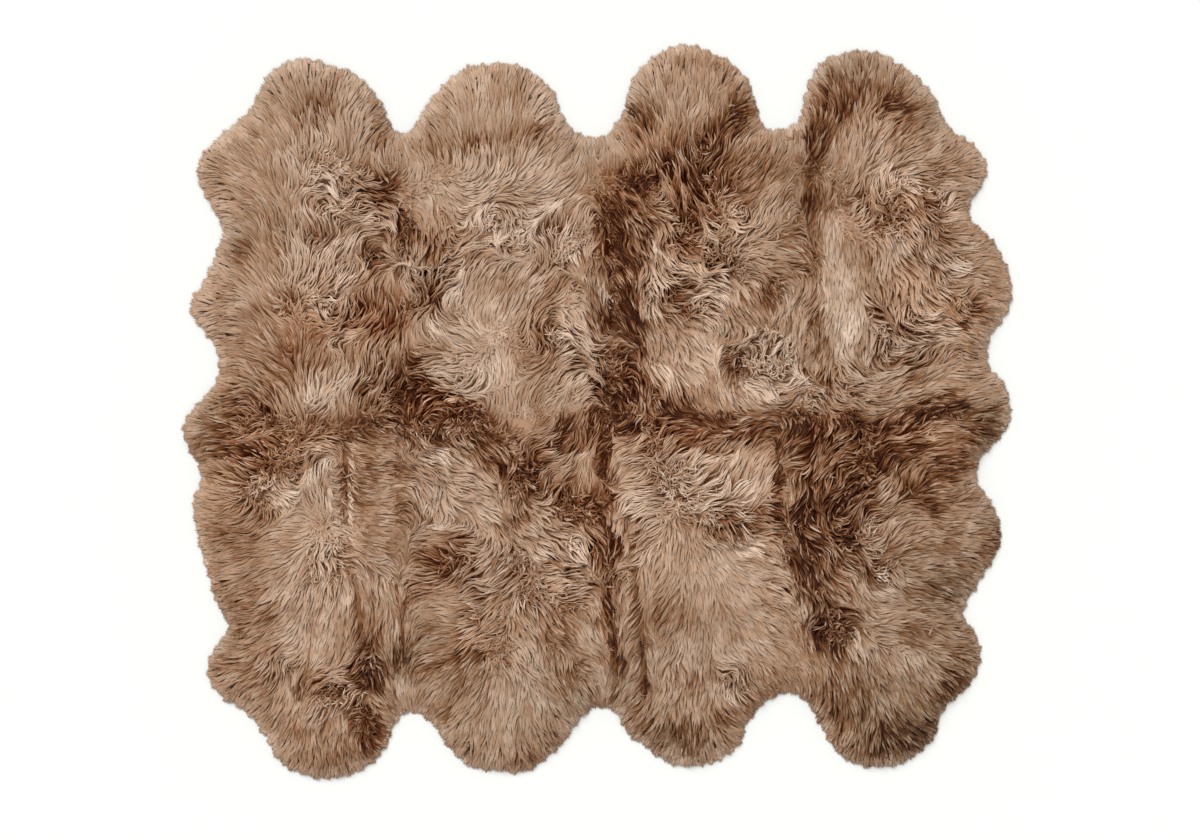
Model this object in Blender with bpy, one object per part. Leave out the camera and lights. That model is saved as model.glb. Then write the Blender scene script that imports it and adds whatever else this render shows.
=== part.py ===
"""A sheepskin rug of eight long-wool pelts, sewn edge to edge in two rows of four.

Each pelt is one solid: the hide lies flat on the floor, and the wool over it is a lumpy slab whose
outer edge breaks into locks. Metres, +X to the right, +Y to the back, +Z up. The origin is on the
floor under the middle of the rug.
"""

import math

import bmesh
import bpy
import numpy as np
from mathutils import noise
from mathutils.geometry import delaunay_2d_cdt

# Driving dimensions.
RUG_WIDTH = 2.20
PILE_HEIGHT = 0.044
RIM_HEIGHT = 0.006
RIM_SHOULDER = 0.090
SEAM_DIP = 0.013
SEAM_DIP_REACH = 0.036
SEAM_GAP = 0.0004

# The lumps of the pile: uneven swells of about this length, with smaller ones on them.
LUMP_HEIGHT = 0.011
LUMP_LENGTH = 0.15
LUMP_SIZES = 2
LUMP_SIZE_RATIO = 2.0
LUMP_FALLOFF = 0.7
LUMP_SEED = 4.3

# The locks round the outer edge: one lock to each pitch, with a ridge that runs back into the wool.
LOCK_PITCH = 0.032
LOCK_REACH = 0.009
LOCK_NOTCH = 0.005
LOCK_LEAN = 0.25
LOCK_UNEVEN = 0.5
LOCK_BEAT = 2.4
LOCK_ROOT = 0.030
LOCK_RIDGE = 0.0045
TIP_HEIGHT = 0.003
NOTCH_HEIGHT = 0.007
SEAM_END_HEIGHT = 0.010

# How far apart the slab's points lie.
CURVE_STEP = 0.006
SEAM_STEP = 0.045
TOP_STEP = 0.034
LEAST_STEP = 0.016

SHARP_ANGLE = math.radians(50)

# What the triangulation is asked for: the faces inside the outline, with no points merged.
INNER_FACES = 1
MERGE_STEP = 1e-7

# The plan of the rug counts its width in this many steps, across from the left and down from the back.
PLAN_WIDTH = 826
PLAN_STEP = RUG_WIDTH / PLAN_WIDTH

# Hollows where the wool parts or is pressed: plan place, half sizes in plan steps, turn and depth.
HOLLOWS = (
    # across, down, half long, half wide, turn in degrees, depth
    (386, 182, 26, 15, 20, 0.008),
    (622, 255, 80, 20, 84, 0.010),
    (622, 372, 40, 24, 90, 0.007),
    (735, 118, 34, 16, 40, 0.006),
    (815, 158, 38, 17, 62, 0.008),
    (898, 101, 30, 12, -8, 0.006),
    (812, 205, 42, 12, 88, 0.008),
    (243, 437, 40, 24, -10, 0.006),
    (298, 315, 36, 18, 80, 0.005),
    (475, 415, 70, 22, -12, 0.007),
    (585, 470, 26, 44, 60, 0.007),
    (813, 492, 30, 24, 35, 0.008),
    (826, 622, 40, 16, 78, 0.007),
    (372, 725, 34, 18, 74, 0.007),
    (616, 660, 52, 9, 88, 0.009),
    (355, 520, 70, 7, 88, 0.007),
    (643, 655, 60, 7, 84, 0.006),
    (893, 735, 40, 12, 10, 0.005),
)

# The seams, from the back notch to the front notch. The middle row is the crossing with the long seam.
LENGTHWISE_SEAMS = (
    # across, down
    ((401, 137), (402, 215), (405, 320), (401, 425), (391, 515), (399, 615), (409, 711)),
    ((596, 141), (606, 215), (613, 320), (604, 412), (606, 515), (611, 615), (599, 704)),
    ((786, 131), (803, 215), (808, 320), (800, 414), (778, 515), (790, 615), (788, 691)),
)
CROSSING = 3
CROSS_SEAM = (
    # left end, between, right end
    (184, 433),
    (292, 433),
    (500, 419),
    (702, 411),
    (905, 413),
    (1007, 425),
)

# The outer edge of each pelt's wool, round the rug from the left end of the long seam, by way of the
# front, the right and the back. A pelt's edge starts where the one before it ends.
FREE_EDGES = {
    "front_1": (
        # part of the pelt, across, down
        ("seam end", 184, 433),
        ("neck corner", 188, 449),
        ("cheek", 198, 461),
        ("cheek notch", 201, 482),
        ("shoulder", 194, 500),
        ("shoulder", 197, 530),
        ("side", 206, 563),
        ("side", 215, 597),
        ("flank notch", 230, 631),
        ("hind leg", 215, 648),
        ("hind leg", 208, 673),
        ("hind leg", 221, 696),
        ("haunch", 249, 714),
        ("haunch", 264, 733),
        ("rump", 280, 762),
        ("rump", 303, 775),
        ("tail", 322, 779),
        ("rump", 360, 771),
        ("rump", 386, 747),
        ("rump", 396, 722),
    ),
    "front_2": (
        ("seam end", 409, 711),
        ("haunch", 430, 720),
        ("haunch", 449, 747),
        ("rump", 465, 763),
        ("tail", 487, 770),
        ("tail", 527, 771),
        ("rump", 544, 760),
        ("haunch", 558, 748),
        ("haunch", 579, 722),
    ),
    "front_3": (
        ("seam end", 599, 704),
        ("haunch", 619, 718),
        ("haunch", 626, 731),
        ("haunch", 649, 749),
        ("rump", 675, 765),
        ("tail", 697, 766),
        ("rump", 724, 757),
        ("rump", 741, 743),
        ("haunch", 745, 725),
        ("haunch", 765, 703),
    ),
    "front_4": (
        ("seam end", 788, 691),
        ("haunch", 803, 699),
        ("haunch", 820, 723),
        ("haunch", 829, 739),
        ("rump", 842, 756),
        ("tail", 876, 768),
        ("rump", 911, 758),
        ("rump", 934, 738),
        ("haunch", 940, 715),
        ("hind leg", 967, 686),
        ("hind leg", 980, 661),
        ("hind leg", 975, 633),
        ("flank notch", 962, 614),
        ("side", 974, 589),
        ("side", 991, 563),
        ("shoulder", 1001, 537),
        ("shoulder", 992, 504),
        ("cheek notch", 976, 481),
        ("cheek notch", 979, 459),
        ("neck corner", 995, 443),
    ),
    "back_4": (
        ("seam end", 1007, 425),
        ("neck corner", 1010, 405),
        ("cheek", 1003, 383),
        ("cheek notch", 988, 367),
        ("cheek notch", 989, 339),
        ("shoulder", 1004, 317),
        ("shoulder", 1012, 300),
        ("side", 1006, 266),
        ("side", 994, 243),
        ("flank notch", 973, 223),
        ("flank notch", 968, 206),
        ("hind leg", 982, 185),
        ("hind leg", 987, 165),
        ("hind leg", 975, 147),
        ("haunch", 945, 125),
        ("haunch", 934, 97),
        ("rump", 905, 69),
        ("tail", 880, 54),
        ("tail", 845, 53),
        ("rump", 818, 67),
        ("haunch", 806, 94),
        ("haunch", 800, 120),
    ),
    "back_3": (
        ("seam end", 786, 131),
        ("haunch", 763, 129),
        ("haunch", 757, 110),
        ("haunch", 750, 86),
        ("rump", 737, 68),
        ("tail", 712, 54),
        ("tail", 688, 46),
        ("rump", 654, 57),
        ("haunch", 634, 78),
        ("haunch", 625, 107),
        ("haunch", 612, 132),
    ),
    "back_2": (
        ("seam end", 596, 141),
        ("haunch", 575, 132),
        ("haunch", 560, 113),
        ("haunch", 555, 95),
        ("rump", 540, 79),
        ("tail", 521, 67),
        ("tail", 476, 66),
        ("rump", 453, 77),
        ("haunch", 428, 104),
        ("haunch", 418, 122),
    ),
    "back_1": (
        ("seam end", 401, 137),
        ("haunch", 389, 123),
        ("haunch", 381, 101),
        ("rump", 360, 79),
        ("rump", 338, 68),
        ("tail", 306, 60),
        ("rump", 275, 69),
        ("haunch", 263, 86),
        ("haunch", 249, 112),
        ("hind leg", 222, 136),
        ("hind leg", 204, 153),
        ("hind leg", 198, 177),
        ("hind leg", 212, 208),
        ("flank notch", 223, 220),
        ("flank notch", 219, 249),
        ("side", 204, 283),
        ("shoulder", 191, 307),
        ("shoulder", 199, 326),
        ("cheek notch", 216, 345),
        ("cheek notch", 219, 376),
        ("neck corner", 202, 400),
        ("neck corner", 188, 414),
    ),
}

WOOL = {"colour": (0.40, 0.27, 0.185, 1.0), "roughness": 0.85, "metallic": 0.0}


def plan_centre():
    """Middle of the plan's own box, in plan steps: it lies over the origin."""
    marks = np.array([mark[1:] for edge in FREE_EDGES.values() for mark in edge], float)
    return (marks.min(axis=0) + marks.max(axis=0)) / 2


def on_floor(plan_points):
    """Plan steps, down from the back, to metres on the floor."""
    moved = (np.array(plan_points, float) - plan_centre()) * PLAN_STEP
    return moved * (1, -1)


def smooth_through(points, closed=False):
    """A centripetal Catmull-Rom curve through the points, and the index of each point on it."""
    points = np.asarray(points, float)
    if closed:
        padded = np.vstack([points[-1], points, points[:2]])
    else:
        padded = np.vstack([2 * points[0] - points[1], points, 2 * points[-1] - points[-2]])
    pieces, indices, count = [], [], 0
    for p0, p1, p2, p3 in zip(padded, padded[1:], padded[2:], padded[3:]):
        knots = np.cumsum([0] + [math.sqrt(math.dist(a, b)) for a, b in ((p0, p1), (p1, p2), (p2, p3))])
        t0, t1, t2, t3 = knots
        steps = max(2, math.ceil(math.dist(p1, p2) / CURVE_STEP))
        t = np.linspace(t1, t2, steps, endpoint=False)[:, None]
        a1 = p0 * (t1 - t) / (t1 - t0) + p1 * (t - t0) / (t1 - t0)
        a2 = p1 * (t2 - t) / (t2 - t1) + p2 * (t - t1) / (t2 - t1)
        a3 = p2 * (t3 - t) / (t3 - t2) + p3 * (t - t2) / (t3 - t2)
        b1 = a1 * (t2 - t) / (t2 - t0) + a2 * (t - t0) / (t2 - t0)
        b2 = a2 * (t3 - t) / (t3 - t1) + a3 * (t - t1) / (t3 - t1)
        pieces.append(b1 * (t2 - t) / (t2 - t1) + b2 * (t - t1) / (t2 - t1))
        indices.append(count)
        count += steps
    if not closed:
        pieces.append(points[-1:])
        indices.append(count)
    return np.vstack(pieces), indices


def lengths_along(line):
    return np.concatenate([[0.0], np.cumsum(np.linalg.norm(np.diff(line, axis=0), axis=1))])


def at_lengths(line, wanted):
    along = lengths_along(line)
    return np.column_stack([np.interp(wanted, along, line[:, axis]) for axis in (0, 1)])


def respaced(line, step):
    """The same line with points evenly spaced, about one step apart."""
    total = lengths_along(line)[-1]
    return at_lengths(line, np.linspace(0, total, max(2, round(total / step) + 1)))


def distance_to(line, points):
    """Distance from each point to the nearest stretch of an open line."""
    nearest = np.full(len(points), np.inf)
    for start, run in zip(line[:-1], np.diff(line, axis=0)):
        share = np.clip((points - start) @ run / (run @ run), 0, 1)
        gaps = np.linalg.norm(points - start - share[:, None] * run, axis=1)
        nearest = np.minimum(nearest, gaps)
    return nearest


def make_free_curves():
    """The smooth outer edge, and the stretch of it that belongs to each pelt."""
    names = list(FREE_EDGES)
    marks = [mark[1:] for name in names for mark in FREE_EDGES[name]]
    curve, indices = smooth_through(on_floor(marks), closed=True)
    ring = np.vstack([curve, curve[:1]])
    firsts = np.cumsum([0] + [len(FREE_EDGES[name]) for name in names])
    ends = [indices[first] for first in firsts[:-1]] + [len(curve)]
    return ring, {name: ring[a:b + 1] for name, a, b in zip(names, ends, ends[1:])}


def make_seam_curves():
    """Seam runs between crossings: back and front halves of each lengthwise seam, and the long seam."""
    halves = []
    for marks in LENGTHWISE_SEAMS:
        curve, indices = smooth_through(on_floor(marks))
        middle = indices[CROSSING]
        halves.append({"back": curve[:middle + 1], "front": curve[middle:]})
    crossings = [marks[CROSSING] for marks in LENGTHWISE_SEAMS]
    left_end, *between, right_end = CROSS_SEAM
    marks = [left_end, between[0]]
    for crossing, middle in zip(crossings, between[1:]):
        marks += [crossing, middle]
    curve, indices = smooth_through(on_floor(marks + [right_end]))
    cuts = [indices[0]] + [indices[2 * n + 2] for n in range(len(crossings))] + [indices[-1]]
    return halves, [curve[a:b + 1] for a, b in zip(cuts, cuts[1:])]


def pile_height(points, free_ring, seam_lines):
    """Height of the wool over the floor: a round shoulder at the rim, lumps, hollows and seam dips."""
    rim = np.clip(distance_to(free_ring, points) / RIM_SHOULDER, 0, 1)
    shoulder = np.sqrt(np.clip(1 - (1 - rim) ** 2, 0, 1))
    relief = LUMP_HEIGHT * np.array([
        noise.fractal((x, y, LUMP_SEED), LUMP_FALLOFF, LUMP_SIZE_RATIO, LUMP_SIZES)
        for x, y in points / LUMP_LENGTH
    ])
    for across, down, half_long, half_wide, turn, depth in HOLLOWS:
        away = points - on_floor([(across, down)])[0]
        cosine, sine = math.cos(math.radians(turn)), math.sin(math.radians(turn))
        long_way = away @ np.array([cosine, sine]) / (half_long * PLAN_STEP)
        wide_way = away @ np.array([-sine, cosine]) / (half_wide * PLAN_STEP)
        relief -= depth * np.exp(-(long_way ** 2 + wide_way ** 2))
    seam = np.min([distance_to(line, points) for line in seam_lines], axis=0)
    relief -= SEAM_DIP * np.exp(-(seam / SEAM_DIP_REACH) ** 2)
    return RIM_HEIGHT + shoulder * (PILE_HEIGHT - RIM_HEIGHT + relief)


def lock_edge(run, seed):
    """Outer edge of a run as locks: notch, tip, notch and so on, and the roots behind them."""
    total = lengths_along(run)[-1]
    count = round(total / LOCK_PITCH)
    pitch = total / count
    number = np.arange(2 * count + 1)
    is_tip = number % 2 == 1
    beat = number * LOCK_BEAT + seed
    at = number * pitch / 2 + np.where(is_tip, LOCK_LEAN * pitch * np.sin(beat), 0)
    base = at_lengths(run, at)
    # The heading is taken over a whole lock, so that small bends don't turn the locks.
    ahead, behind = at_lengths(run, at + pitch / 2), at_lengths(run, at - pitch / 2)
    heading = (ahead - behind) / np.linalg.norm(ahead - behind, axis=1)[:, None]
    outward = np.column_stack([heading[:, 1], -heading[:, 0]])
    shorter = LOCK_UNEVEN * (1 + np.cos(beat * 2)) / 2
    reach = np.where(is_tip, LOCK_REACH * (1 - shorter), -LOCK_NOTCH)
    reach[[0, -1]] = 0
    edge = base + outward * reach[:, None]
    roots = base - outward * LOCK_ROOT
    return edge, roots, is_tip


def inside(polygon, points):
    """Whether each point lies inside a closed polygon, by counting the edges to its right."""
    count = np.zeros(len(points), int)
    for (ax, ay), (bx, by) in zip(polygon, np.roll(polygon, -1, axis=0)):
        if ay == by:
            continue
        spans = (points[:, 1] < ay) != (points[:, 1] < by)
        crossing = ax + (points[:, 1] - ay) * (bx - ax) / (by - ay)
        count += spans & (points[:, 0] < crossing)
    return count % 2 == 1


def spread_points(outline, kept):
    """A staggered grid of points inside the outline, clear of the points already kept."""
    low, high = outline.min(axis=0), outline.max(axis=0)
    row_step = TOP_STEP * math.sqrt(3) / 2
    rows = np.arange(low[1], high[1], row_step)
    columns = np.arange(low[0], high[0], TOP_STEP)
    across, down = np.meshgrid(columns, rows)
    across[1::2] += TOP_STEP / 2
    points = np.column_stack([across.ravel(), down.ravel()])
    points = points[inside(outline, points)]
    gaps = np.linalg.norm(points[:, None] - kept[None], axis=2).min(axis=1)
    return points[gaps > LEAST_STEP]


def wool_material():
    material = bpy.data.materials.new("wool")
    material.use_nodes = True
    shader = material.node_tree.nodes["Principled BSDF"]
    shader.inputs["Base Color"].default_value = WOOL["colour"]
    shader.inputs["Roughness"].default_value = WOOL["roughness"]
    shader.inputs["Metallic"].default_value = WOOL["metallic"]
    material.diffuse_color = WOOL["colour"]
    return material


def pelt_points(edge, roots, is_tip, sewn, height_at):
    """The top's points: the outline first, then the locks' roots, then the grid. Also their heights,
    and the lines that the triangles keep: the border, and a spine down each lock."""
    outline = np.vstack([edge, sewn[1:-1]])
    clear = inside(outline, roots) & (distance_to(sewn, roots) > LEAST_STEP / 2)
    kept = np.vstack([outline, roots[clear]])
    points = np.vstack([kept, spread_points(outline, kept)])

    heights = height_at(points)
    heights[:len(edge)] = np.where(is_tip, TIP_HEIGHT, NOTCH_HEIGHT)
    heights[[0, len(edge) - 1]] = SEAM_END_HEIGHT
    heights[len(outline):len(kept)] += np.where(is_tip, LOCK_RIDGE, -LOCK_RIDGE)[clear]

    border = [(n, (n + 1) % len(outline)) for n in range(len(outline))]
    root_of = dict(zip(np.flatnonzero(clear), range(len(outline), len(kept))))
    spines = [(n, root_of[n]) for n in np.flatnonzero(clear & is_tip)]
    return points, heights, border + [(int(a), int(b)) for a, b in spines]


def make_pelt(name, points, heights, lines, material):
    """One pelt: its top as a surface of triangles, drawn down to a flat underside."""
    flat = [tuple(point) for point in points]
    found, _, triangles, *_ = delaunay_2d_cdt(flat, lines, [], INNER_FACES, MERGE_STEP)
    if len(found) != len(points):
        raise RuntimeError(f"{name}: the outline or a lock crosses itself")

    body = bmesh.new()
    for (x, y), z in zip(points, heights):
        body.verts.new((x, y, z))
    body.verts.ensure_lookup_table()
    for corners in triangles:
        body.faces.new([body.verts[n] for n in corners])
    drawn = bmesh.ops.extrude_face_region(body, geom=body.faces[:])
    for item in drawn["geom"]:
        if isinstance(item, bmesh.types.BMVert):
            item.co.z = 0.0
    underside = [face for face in body.faces if all(vert.co.z == 0.0 for vert in face.verts)]
    bmesh.ops.dissolve_faces(body, faces=underside)
    bmesh.ops.recalc_face_normals(body, faces=body.faces[:])

    mesh = bpy.data.meshes.new(name)
    body.to_mesh(mesh)
    body.free()
    mesh.materials.append(material)
    mesh.shade_smooth()
    mesh.set_sharp_from_angle(angle=SHARP_ANGLE)
    pelt = bpy.data.objects.new(name, mesh)
    bpy.context.scene.collection.objects.link(pelt)


def sewn_border(row, column, halves, cross_runs):
    """A pelt's sewn border, anticlockwise from the end of its outer edge round to the start of it.
    Each seam's run is moved into the pelt by half the gap, and a corner takes both its seams' moves."""
    inward = SEAM_GAP / 2
    runs = [(cross_runs[column - 1], (0, inward if row == "back" else -inward))]
    if column > 1:
        runs.insert(0, (halves[column - 2][row], (inward, 0)))
    if column < len(cross_runs):
        runs.append((halves[column - 1][row][::-1], (-inward, 0)))
    if row == "front":
        # The front row goes round the other way: up on the right, back to the left and down.
        runs = [(run, move) for run, move in reversed(runs)]
        runs = [(run[::-1] if move[1] else run, move) for run, move in runs]
    border = [respaced(run, SEAM_STEP) + move for run, move in runs]
    for earlier, (_, move) in zip(border, runs[1:]):
        earlier[-1] += move
    return np.vstack([border[0]] + [run[1:] for run in border[1:]])


def make_rug():
    """All eight pelts, in their places, with the middle of the rug's box over the origin."""
    for old in list(bpy.data.objects):
        bpy.data.objects.remove(old)
    free_ring, free_runs = make_free_curves()
    halves, cross_runs = make_seam_curves()
    seam_lines = [half[row] for half in halves for row in ("back", "front")] + cross_runs
    locks = {name: lock_edge(run, seed) for seed, (name, run) in enumerate(free_runs.items())}
    reach = np.vstack([edge for edge, _, _ in locks.values()])
    middle = (reach.min(axis=0) + reach.max(axis=0)) / 2

    def height_at(points):
        return pile_height(points, free_ring, seam_lines)

    material = wool_material()
    for row in ("back", "front"):
        for column in range(1, len(cross_runs) + 1):
            edge, roots, is_tip = locks[f"{row}_{column}"]
            sewn = sewn_border(row, column, halves, cross_runs)
            edge[0], edge[-1] = sewn[-1], sewn[0]
            points, heights, lines = pelt_points(edge, roots, is_tip, sewn, height_at)
            make_pelt(f"pelt_{row}_{column}", points - middle, heights, lines, material)


make_rug()
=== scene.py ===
import bpy
import numpy as np
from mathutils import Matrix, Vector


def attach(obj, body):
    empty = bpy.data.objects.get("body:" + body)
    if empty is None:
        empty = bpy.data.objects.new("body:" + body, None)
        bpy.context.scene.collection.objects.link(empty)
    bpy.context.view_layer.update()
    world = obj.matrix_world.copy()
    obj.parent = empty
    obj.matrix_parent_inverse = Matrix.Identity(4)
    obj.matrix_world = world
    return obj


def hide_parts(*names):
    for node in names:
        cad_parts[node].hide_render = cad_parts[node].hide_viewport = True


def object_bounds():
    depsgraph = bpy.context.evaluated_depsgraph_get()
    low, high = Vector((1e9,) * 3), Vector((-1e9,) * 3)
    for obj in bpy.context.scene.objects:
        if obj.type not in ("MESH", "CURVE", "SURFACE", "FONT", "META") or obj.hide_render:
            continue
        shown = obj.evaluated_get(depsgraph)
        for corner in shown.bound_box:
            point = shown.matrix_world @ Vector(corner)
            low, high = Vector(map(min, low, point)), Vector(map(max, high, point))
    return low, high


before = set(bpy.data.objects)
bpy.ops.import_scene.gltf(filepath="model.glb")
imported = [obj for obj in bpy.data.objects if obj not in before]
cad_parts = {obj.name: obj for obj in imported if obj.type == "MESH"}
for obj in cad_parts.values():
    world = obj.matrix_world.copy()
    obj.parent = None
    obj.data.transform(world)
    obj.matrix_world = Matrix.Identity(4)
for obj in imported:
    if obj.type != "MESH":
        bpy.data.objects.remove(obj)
solidBox = [list(corner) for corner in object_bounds()]
peltNames = sorted(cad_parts)
print("frame loaded:", ", ".join(peltNames))

# The rug's plan is drawn in steps, across and down from its top left. This turns steps into metres.
plan = {
    "step": 2.20 / 826,          # metres in a step
    "across": 597.6,             # the step over the middle of the rug
    "down": 412.2,
}


def onFloor(across, down):
    # Floor place of a step: its distance from the middle, times the length of a step, up being +Y.
    across, down = np.asarray(across, float), np.asarray(down, float)
    return (across - plan["across"]) * plan["step"], (plan["down"] - down) * plan["step"]


# The map: everything that varies over the rug is held on one square grid of floor points.
ground = {
    "step": 0.006,
    "margin": 0.036,
    "reach": 2.2,                # metres that noise reaches from the middle, whichever way it is turned
    "seam": 0.0025,              # sides of two pelts nearer than this are a seam
    "smooth": 0.012,
}
mapLow = np.array(solidBox[0][:2]) - ground["margin"]
mapHigh = np.array(solidBox[1][:2]) + ground["margin"]
mapSize = np.ceil((mapHigh - mapLow) / ground["step"]).astype(int) + 1
mapX, mapY = np.meshgrid(
    mapLow[0] + ground["step"] * np.arange(mapSize[0]), mapLow[1] + ground["step"] * np.arange(mapSize[1])
)


def readMap(field, x, y):
    # Value between four grid points: their mean, weighted by how near each one is.
    across = np.clip((x - mapLow[0]) / ground["step"], 0, mapSize[0] - 1.001)
    up = np.clip((y - mapLow[1]) / ground["step"], 0, mapSize[1] - 1.001)
    i, j = across.astype(int), up.astype(int)
    u, v = across - i, up - j
    near = field[j, i] * (1 - u) + field[j, i + 1] * u
    far = field[j + 1, i] * (1 - u) + field[j + 1, i + 1] * u
    return near * (1 - v) + far * v


def gridPlace(x, y):
    # Row and column of the grid point nearest to each place.
    i = np.clip(np.round((x - mapLow[0]) / ground["step"]).astype(int), 0, mapSize[0] - 1)
    j = np.clip(np.round((y - mapLow[1]) / ground["step"]).astype(int), 0, mapSize[1] - 1)
    return j, i


def between(pair, share):
    # Value part-way along a pair: the first, plus the step to the second times the share.
    return pair[0] + (pair[1] - pair[0]) * share


def softened(field, reach):
    # Running mean over a square of the given reach, taken twice each way from running totals.
    half = max(1, int(round(reach / ground["step"])))
    for turn in range(4):
        field = field.T if turn in (1, 3) else field
        padded = np.pad(field, ((half + 1, half), (0, 0)), mode="edge")
        total = np.cumsum(padded, axis=0)
        field = (total[2 * half + 1:] - total[:-2 * half - 1]) / (2 * half + 1)
        field = field.T if turn in (1, 3) else field
    return field


def softNoise(x, y, pitch, seed):
    # Noise from -1 to 1: random numbers on a turned lattice, eased from one to the next by 3t2 - 2t3.
    chance = np.random.default_rng(seed)
    turn = chance.uniform(0, 2 * np.pi)
    size = int(2 * ground["reach"] / pitch) + 4
    lattice = chance.uniform(-1, 1, (size, size))
    across = ((x * np.cos(turn) - y * np.sin(turn)) + ground["reach"]) / pitch
    up = ((x * np.sin(turn) + y * np.cos(turn)) + ground["reach"]) / pitch
    i, j = np.floor(across).astype(int), np.floor(up).astype(int)
    u, v = across - i, up - j
    u, v = u * u * (3 - 2 * u), v * v * (3 - 2 * v)
    near = lattice[j, i] * (1 - u) + lattice[j, i + 1] * u
    far = lattice[j + 1, i] * (1 - u) + lattice[j + 1, i + 1] * u
    return near * (1 - v) + far * v


def layeredNoise(rows, x=mapX, y=mapY):
    # Sum of noises, over the whole map unless places are given: amount, pitch and seed in each row.
    return sum(amount * softNoise(x, y, pitch, seed) for amount, pitch, seed in rows)


def solidCorners(name):
    # The corners of a solid's triangles: triangle, corner, and x y z.
    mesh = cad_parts[name].data
    mesh.calc_loop_triangles()
    points = np.empty(len(mesh.vertices) * 3, np.float32)
    mesh.vertices.foreach_get("co", points)
    corners = np.empty(len(mesh.loop_triangles) * 3, np.int32)
    mesh.loop_triangles.foreach_get("vertices", corners)
    return points.reshape(-1, 3)[corners.reshape(-1, 3)].astype(float)


def topOfSolid(corners):
    # Height of the solid over each grid point: the upward triangles' planes, read inside each triangle.
    a, b, c = corners[:, 0], corners[:, 1], corners[:, 2]
    area = (b[:, 0] - a[:, 0]) * (c[:, 1] - a[:, 1]) - (c[:, 0] - a[:, 0]) * (b[:, 1] - a[:, 1])
    corners, area = corners[area > 1e-9], area[area > 1e-9]
    low = np.floor((corners[:, :, :2].min(axis=1) - mapLow) / ground["step"]).astype(int)
    spread = np.ceil(np.ptp(corners[:, :, :2], axis=1).max() / ground["step"]).astype(int) + 2
    i = low[:, 0, None, None] + np.arange(spread)[None, None, :] + np.zeros((1, spread, 1), int)
    j = low[:, 1, None, None] + np.arange(spread)[None, :, None] + np.zeros((1, 1, spread), int)
    x, y = mapLow[0] + i * ground["step"], mapLow[1] + j * ground["step"]
    a, b, c = (corners[:, k, :, None, None] for k in range(3))
    shareA = ((b[:, 0] - x) * (c[:, 1] - y) - (c[:, 0] - x) * (b[:, 1] - y)) / area[:, None, None]
    shareB = ((c[:, 0] - x) * (a[:, 1] - y) - (a[:, 0] - x) * (c[:, 1] - y)) / area[:, None, None]
    shareC = 1 - shareA - shareB
    height = shareA * a[:, 2] + shareB * b[:, 2] + shareC * c[:, 2]
    within = np.minimum(np.minimum(shareA, shareB), shareC) > -1e-3
    top = np.zeros(mapX.shape)
    np.maximum.at(top, (j[within], i[within]), height[within])
    return top


def footOutline(corners):
    # Sides of the flat underside: the sides of bottom triangles that belong to one triangle only.
    foot = corners[corners[:, :, 2].max(axis=1) < 1e-5][:, :, :2]
    places, number = np.unique(np.round(foot.reshape(-1, 2), 5), axis=0, return_inverse=True)
    number = number.reshape(-1, 3)
    sides = np.sort(np.concatenate([number[:, [0, 1]], number[:, [1, 2]], number[:, [2, 0]]]), axis=1)
    sides, count = np.unique(sides, axis=0, return_counts=True)
    return places[sides[count == 1]]


def alongSides(sides, share):
    # Points along straight sides, at the given shares of their length.
    return (sides[:, None, 0] + (sides[:, None, 1] - sides[:, None, 0]) * share[None, :, None]).reshape(-1, 2)


def nearest(points, marks, block=4000):
    # Distance from each point to the nearest mark, and that mark's number, a block of points at a time.
    distance, number = np.empty(len(points)), np.empty(len(points), int)
    marks = marks.astype(np.float32)
    for start in range(0, len(points), block):
        part = points[start:start + block].astype(np.float32)
        square = (part[:, None, 0] - marks[None, :, 0]) ** 2 + (part[:, None, 1] - marks[None, :, 1]) ** 2
        number[start:start + block] = square.argmin(axis=1)
        distance[start:start + block] = np.sqrt(square.min(axis=1))
    return distance, number


solids = {name: solidCorners(name) for name in peltNames}
tops = np.stack([topOfSolid(solids[name]) for name in peltNames])
owner = tops.argmax(axis=0)
pileTop = tops.max(axis=0)
covered = pileTop > 0
peltMaps = {name: covered & (owner == number) for number, name in enumerate(peltNames)}
outlines = {name: footOutline(solids[name]) for name in peltNames}

# A side of an outline is free if no other pelt's outline runs beside it.
freeSides, seamSides = {}, {}
for name in peltNames:
    others = np.concatenate([alongSides(outlines[n], np.linspace(0, 1, 20)) for n in peltNames if n != name])
    gap, _ = nearest(outlines[name].mean(axis=1), others)
    freeSides[name] = outlines[name][gap > ground["seam"]]
    seamSides[name] = outlines[name][gap <= ground["seam"]]
freeMarks = np.concatenate([alongSides(freeSides[n], np.array([0.0, 0.5])) for n in peltNames])
edgeGap, _ = nearest(np.stack([mapX.ravel(), mapY.ravel()], axis=1), freeMarks)
edgeGap = np.where(covered, 1, -1) * edgeGap.reshape(mapX.shape)      # distance inside the free edge
smoothGap = softened(edgeGap, ground["smooth"])
print("map of the rug:", mapX.shape, "free edge marks:", len(freeMarks))

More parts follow.
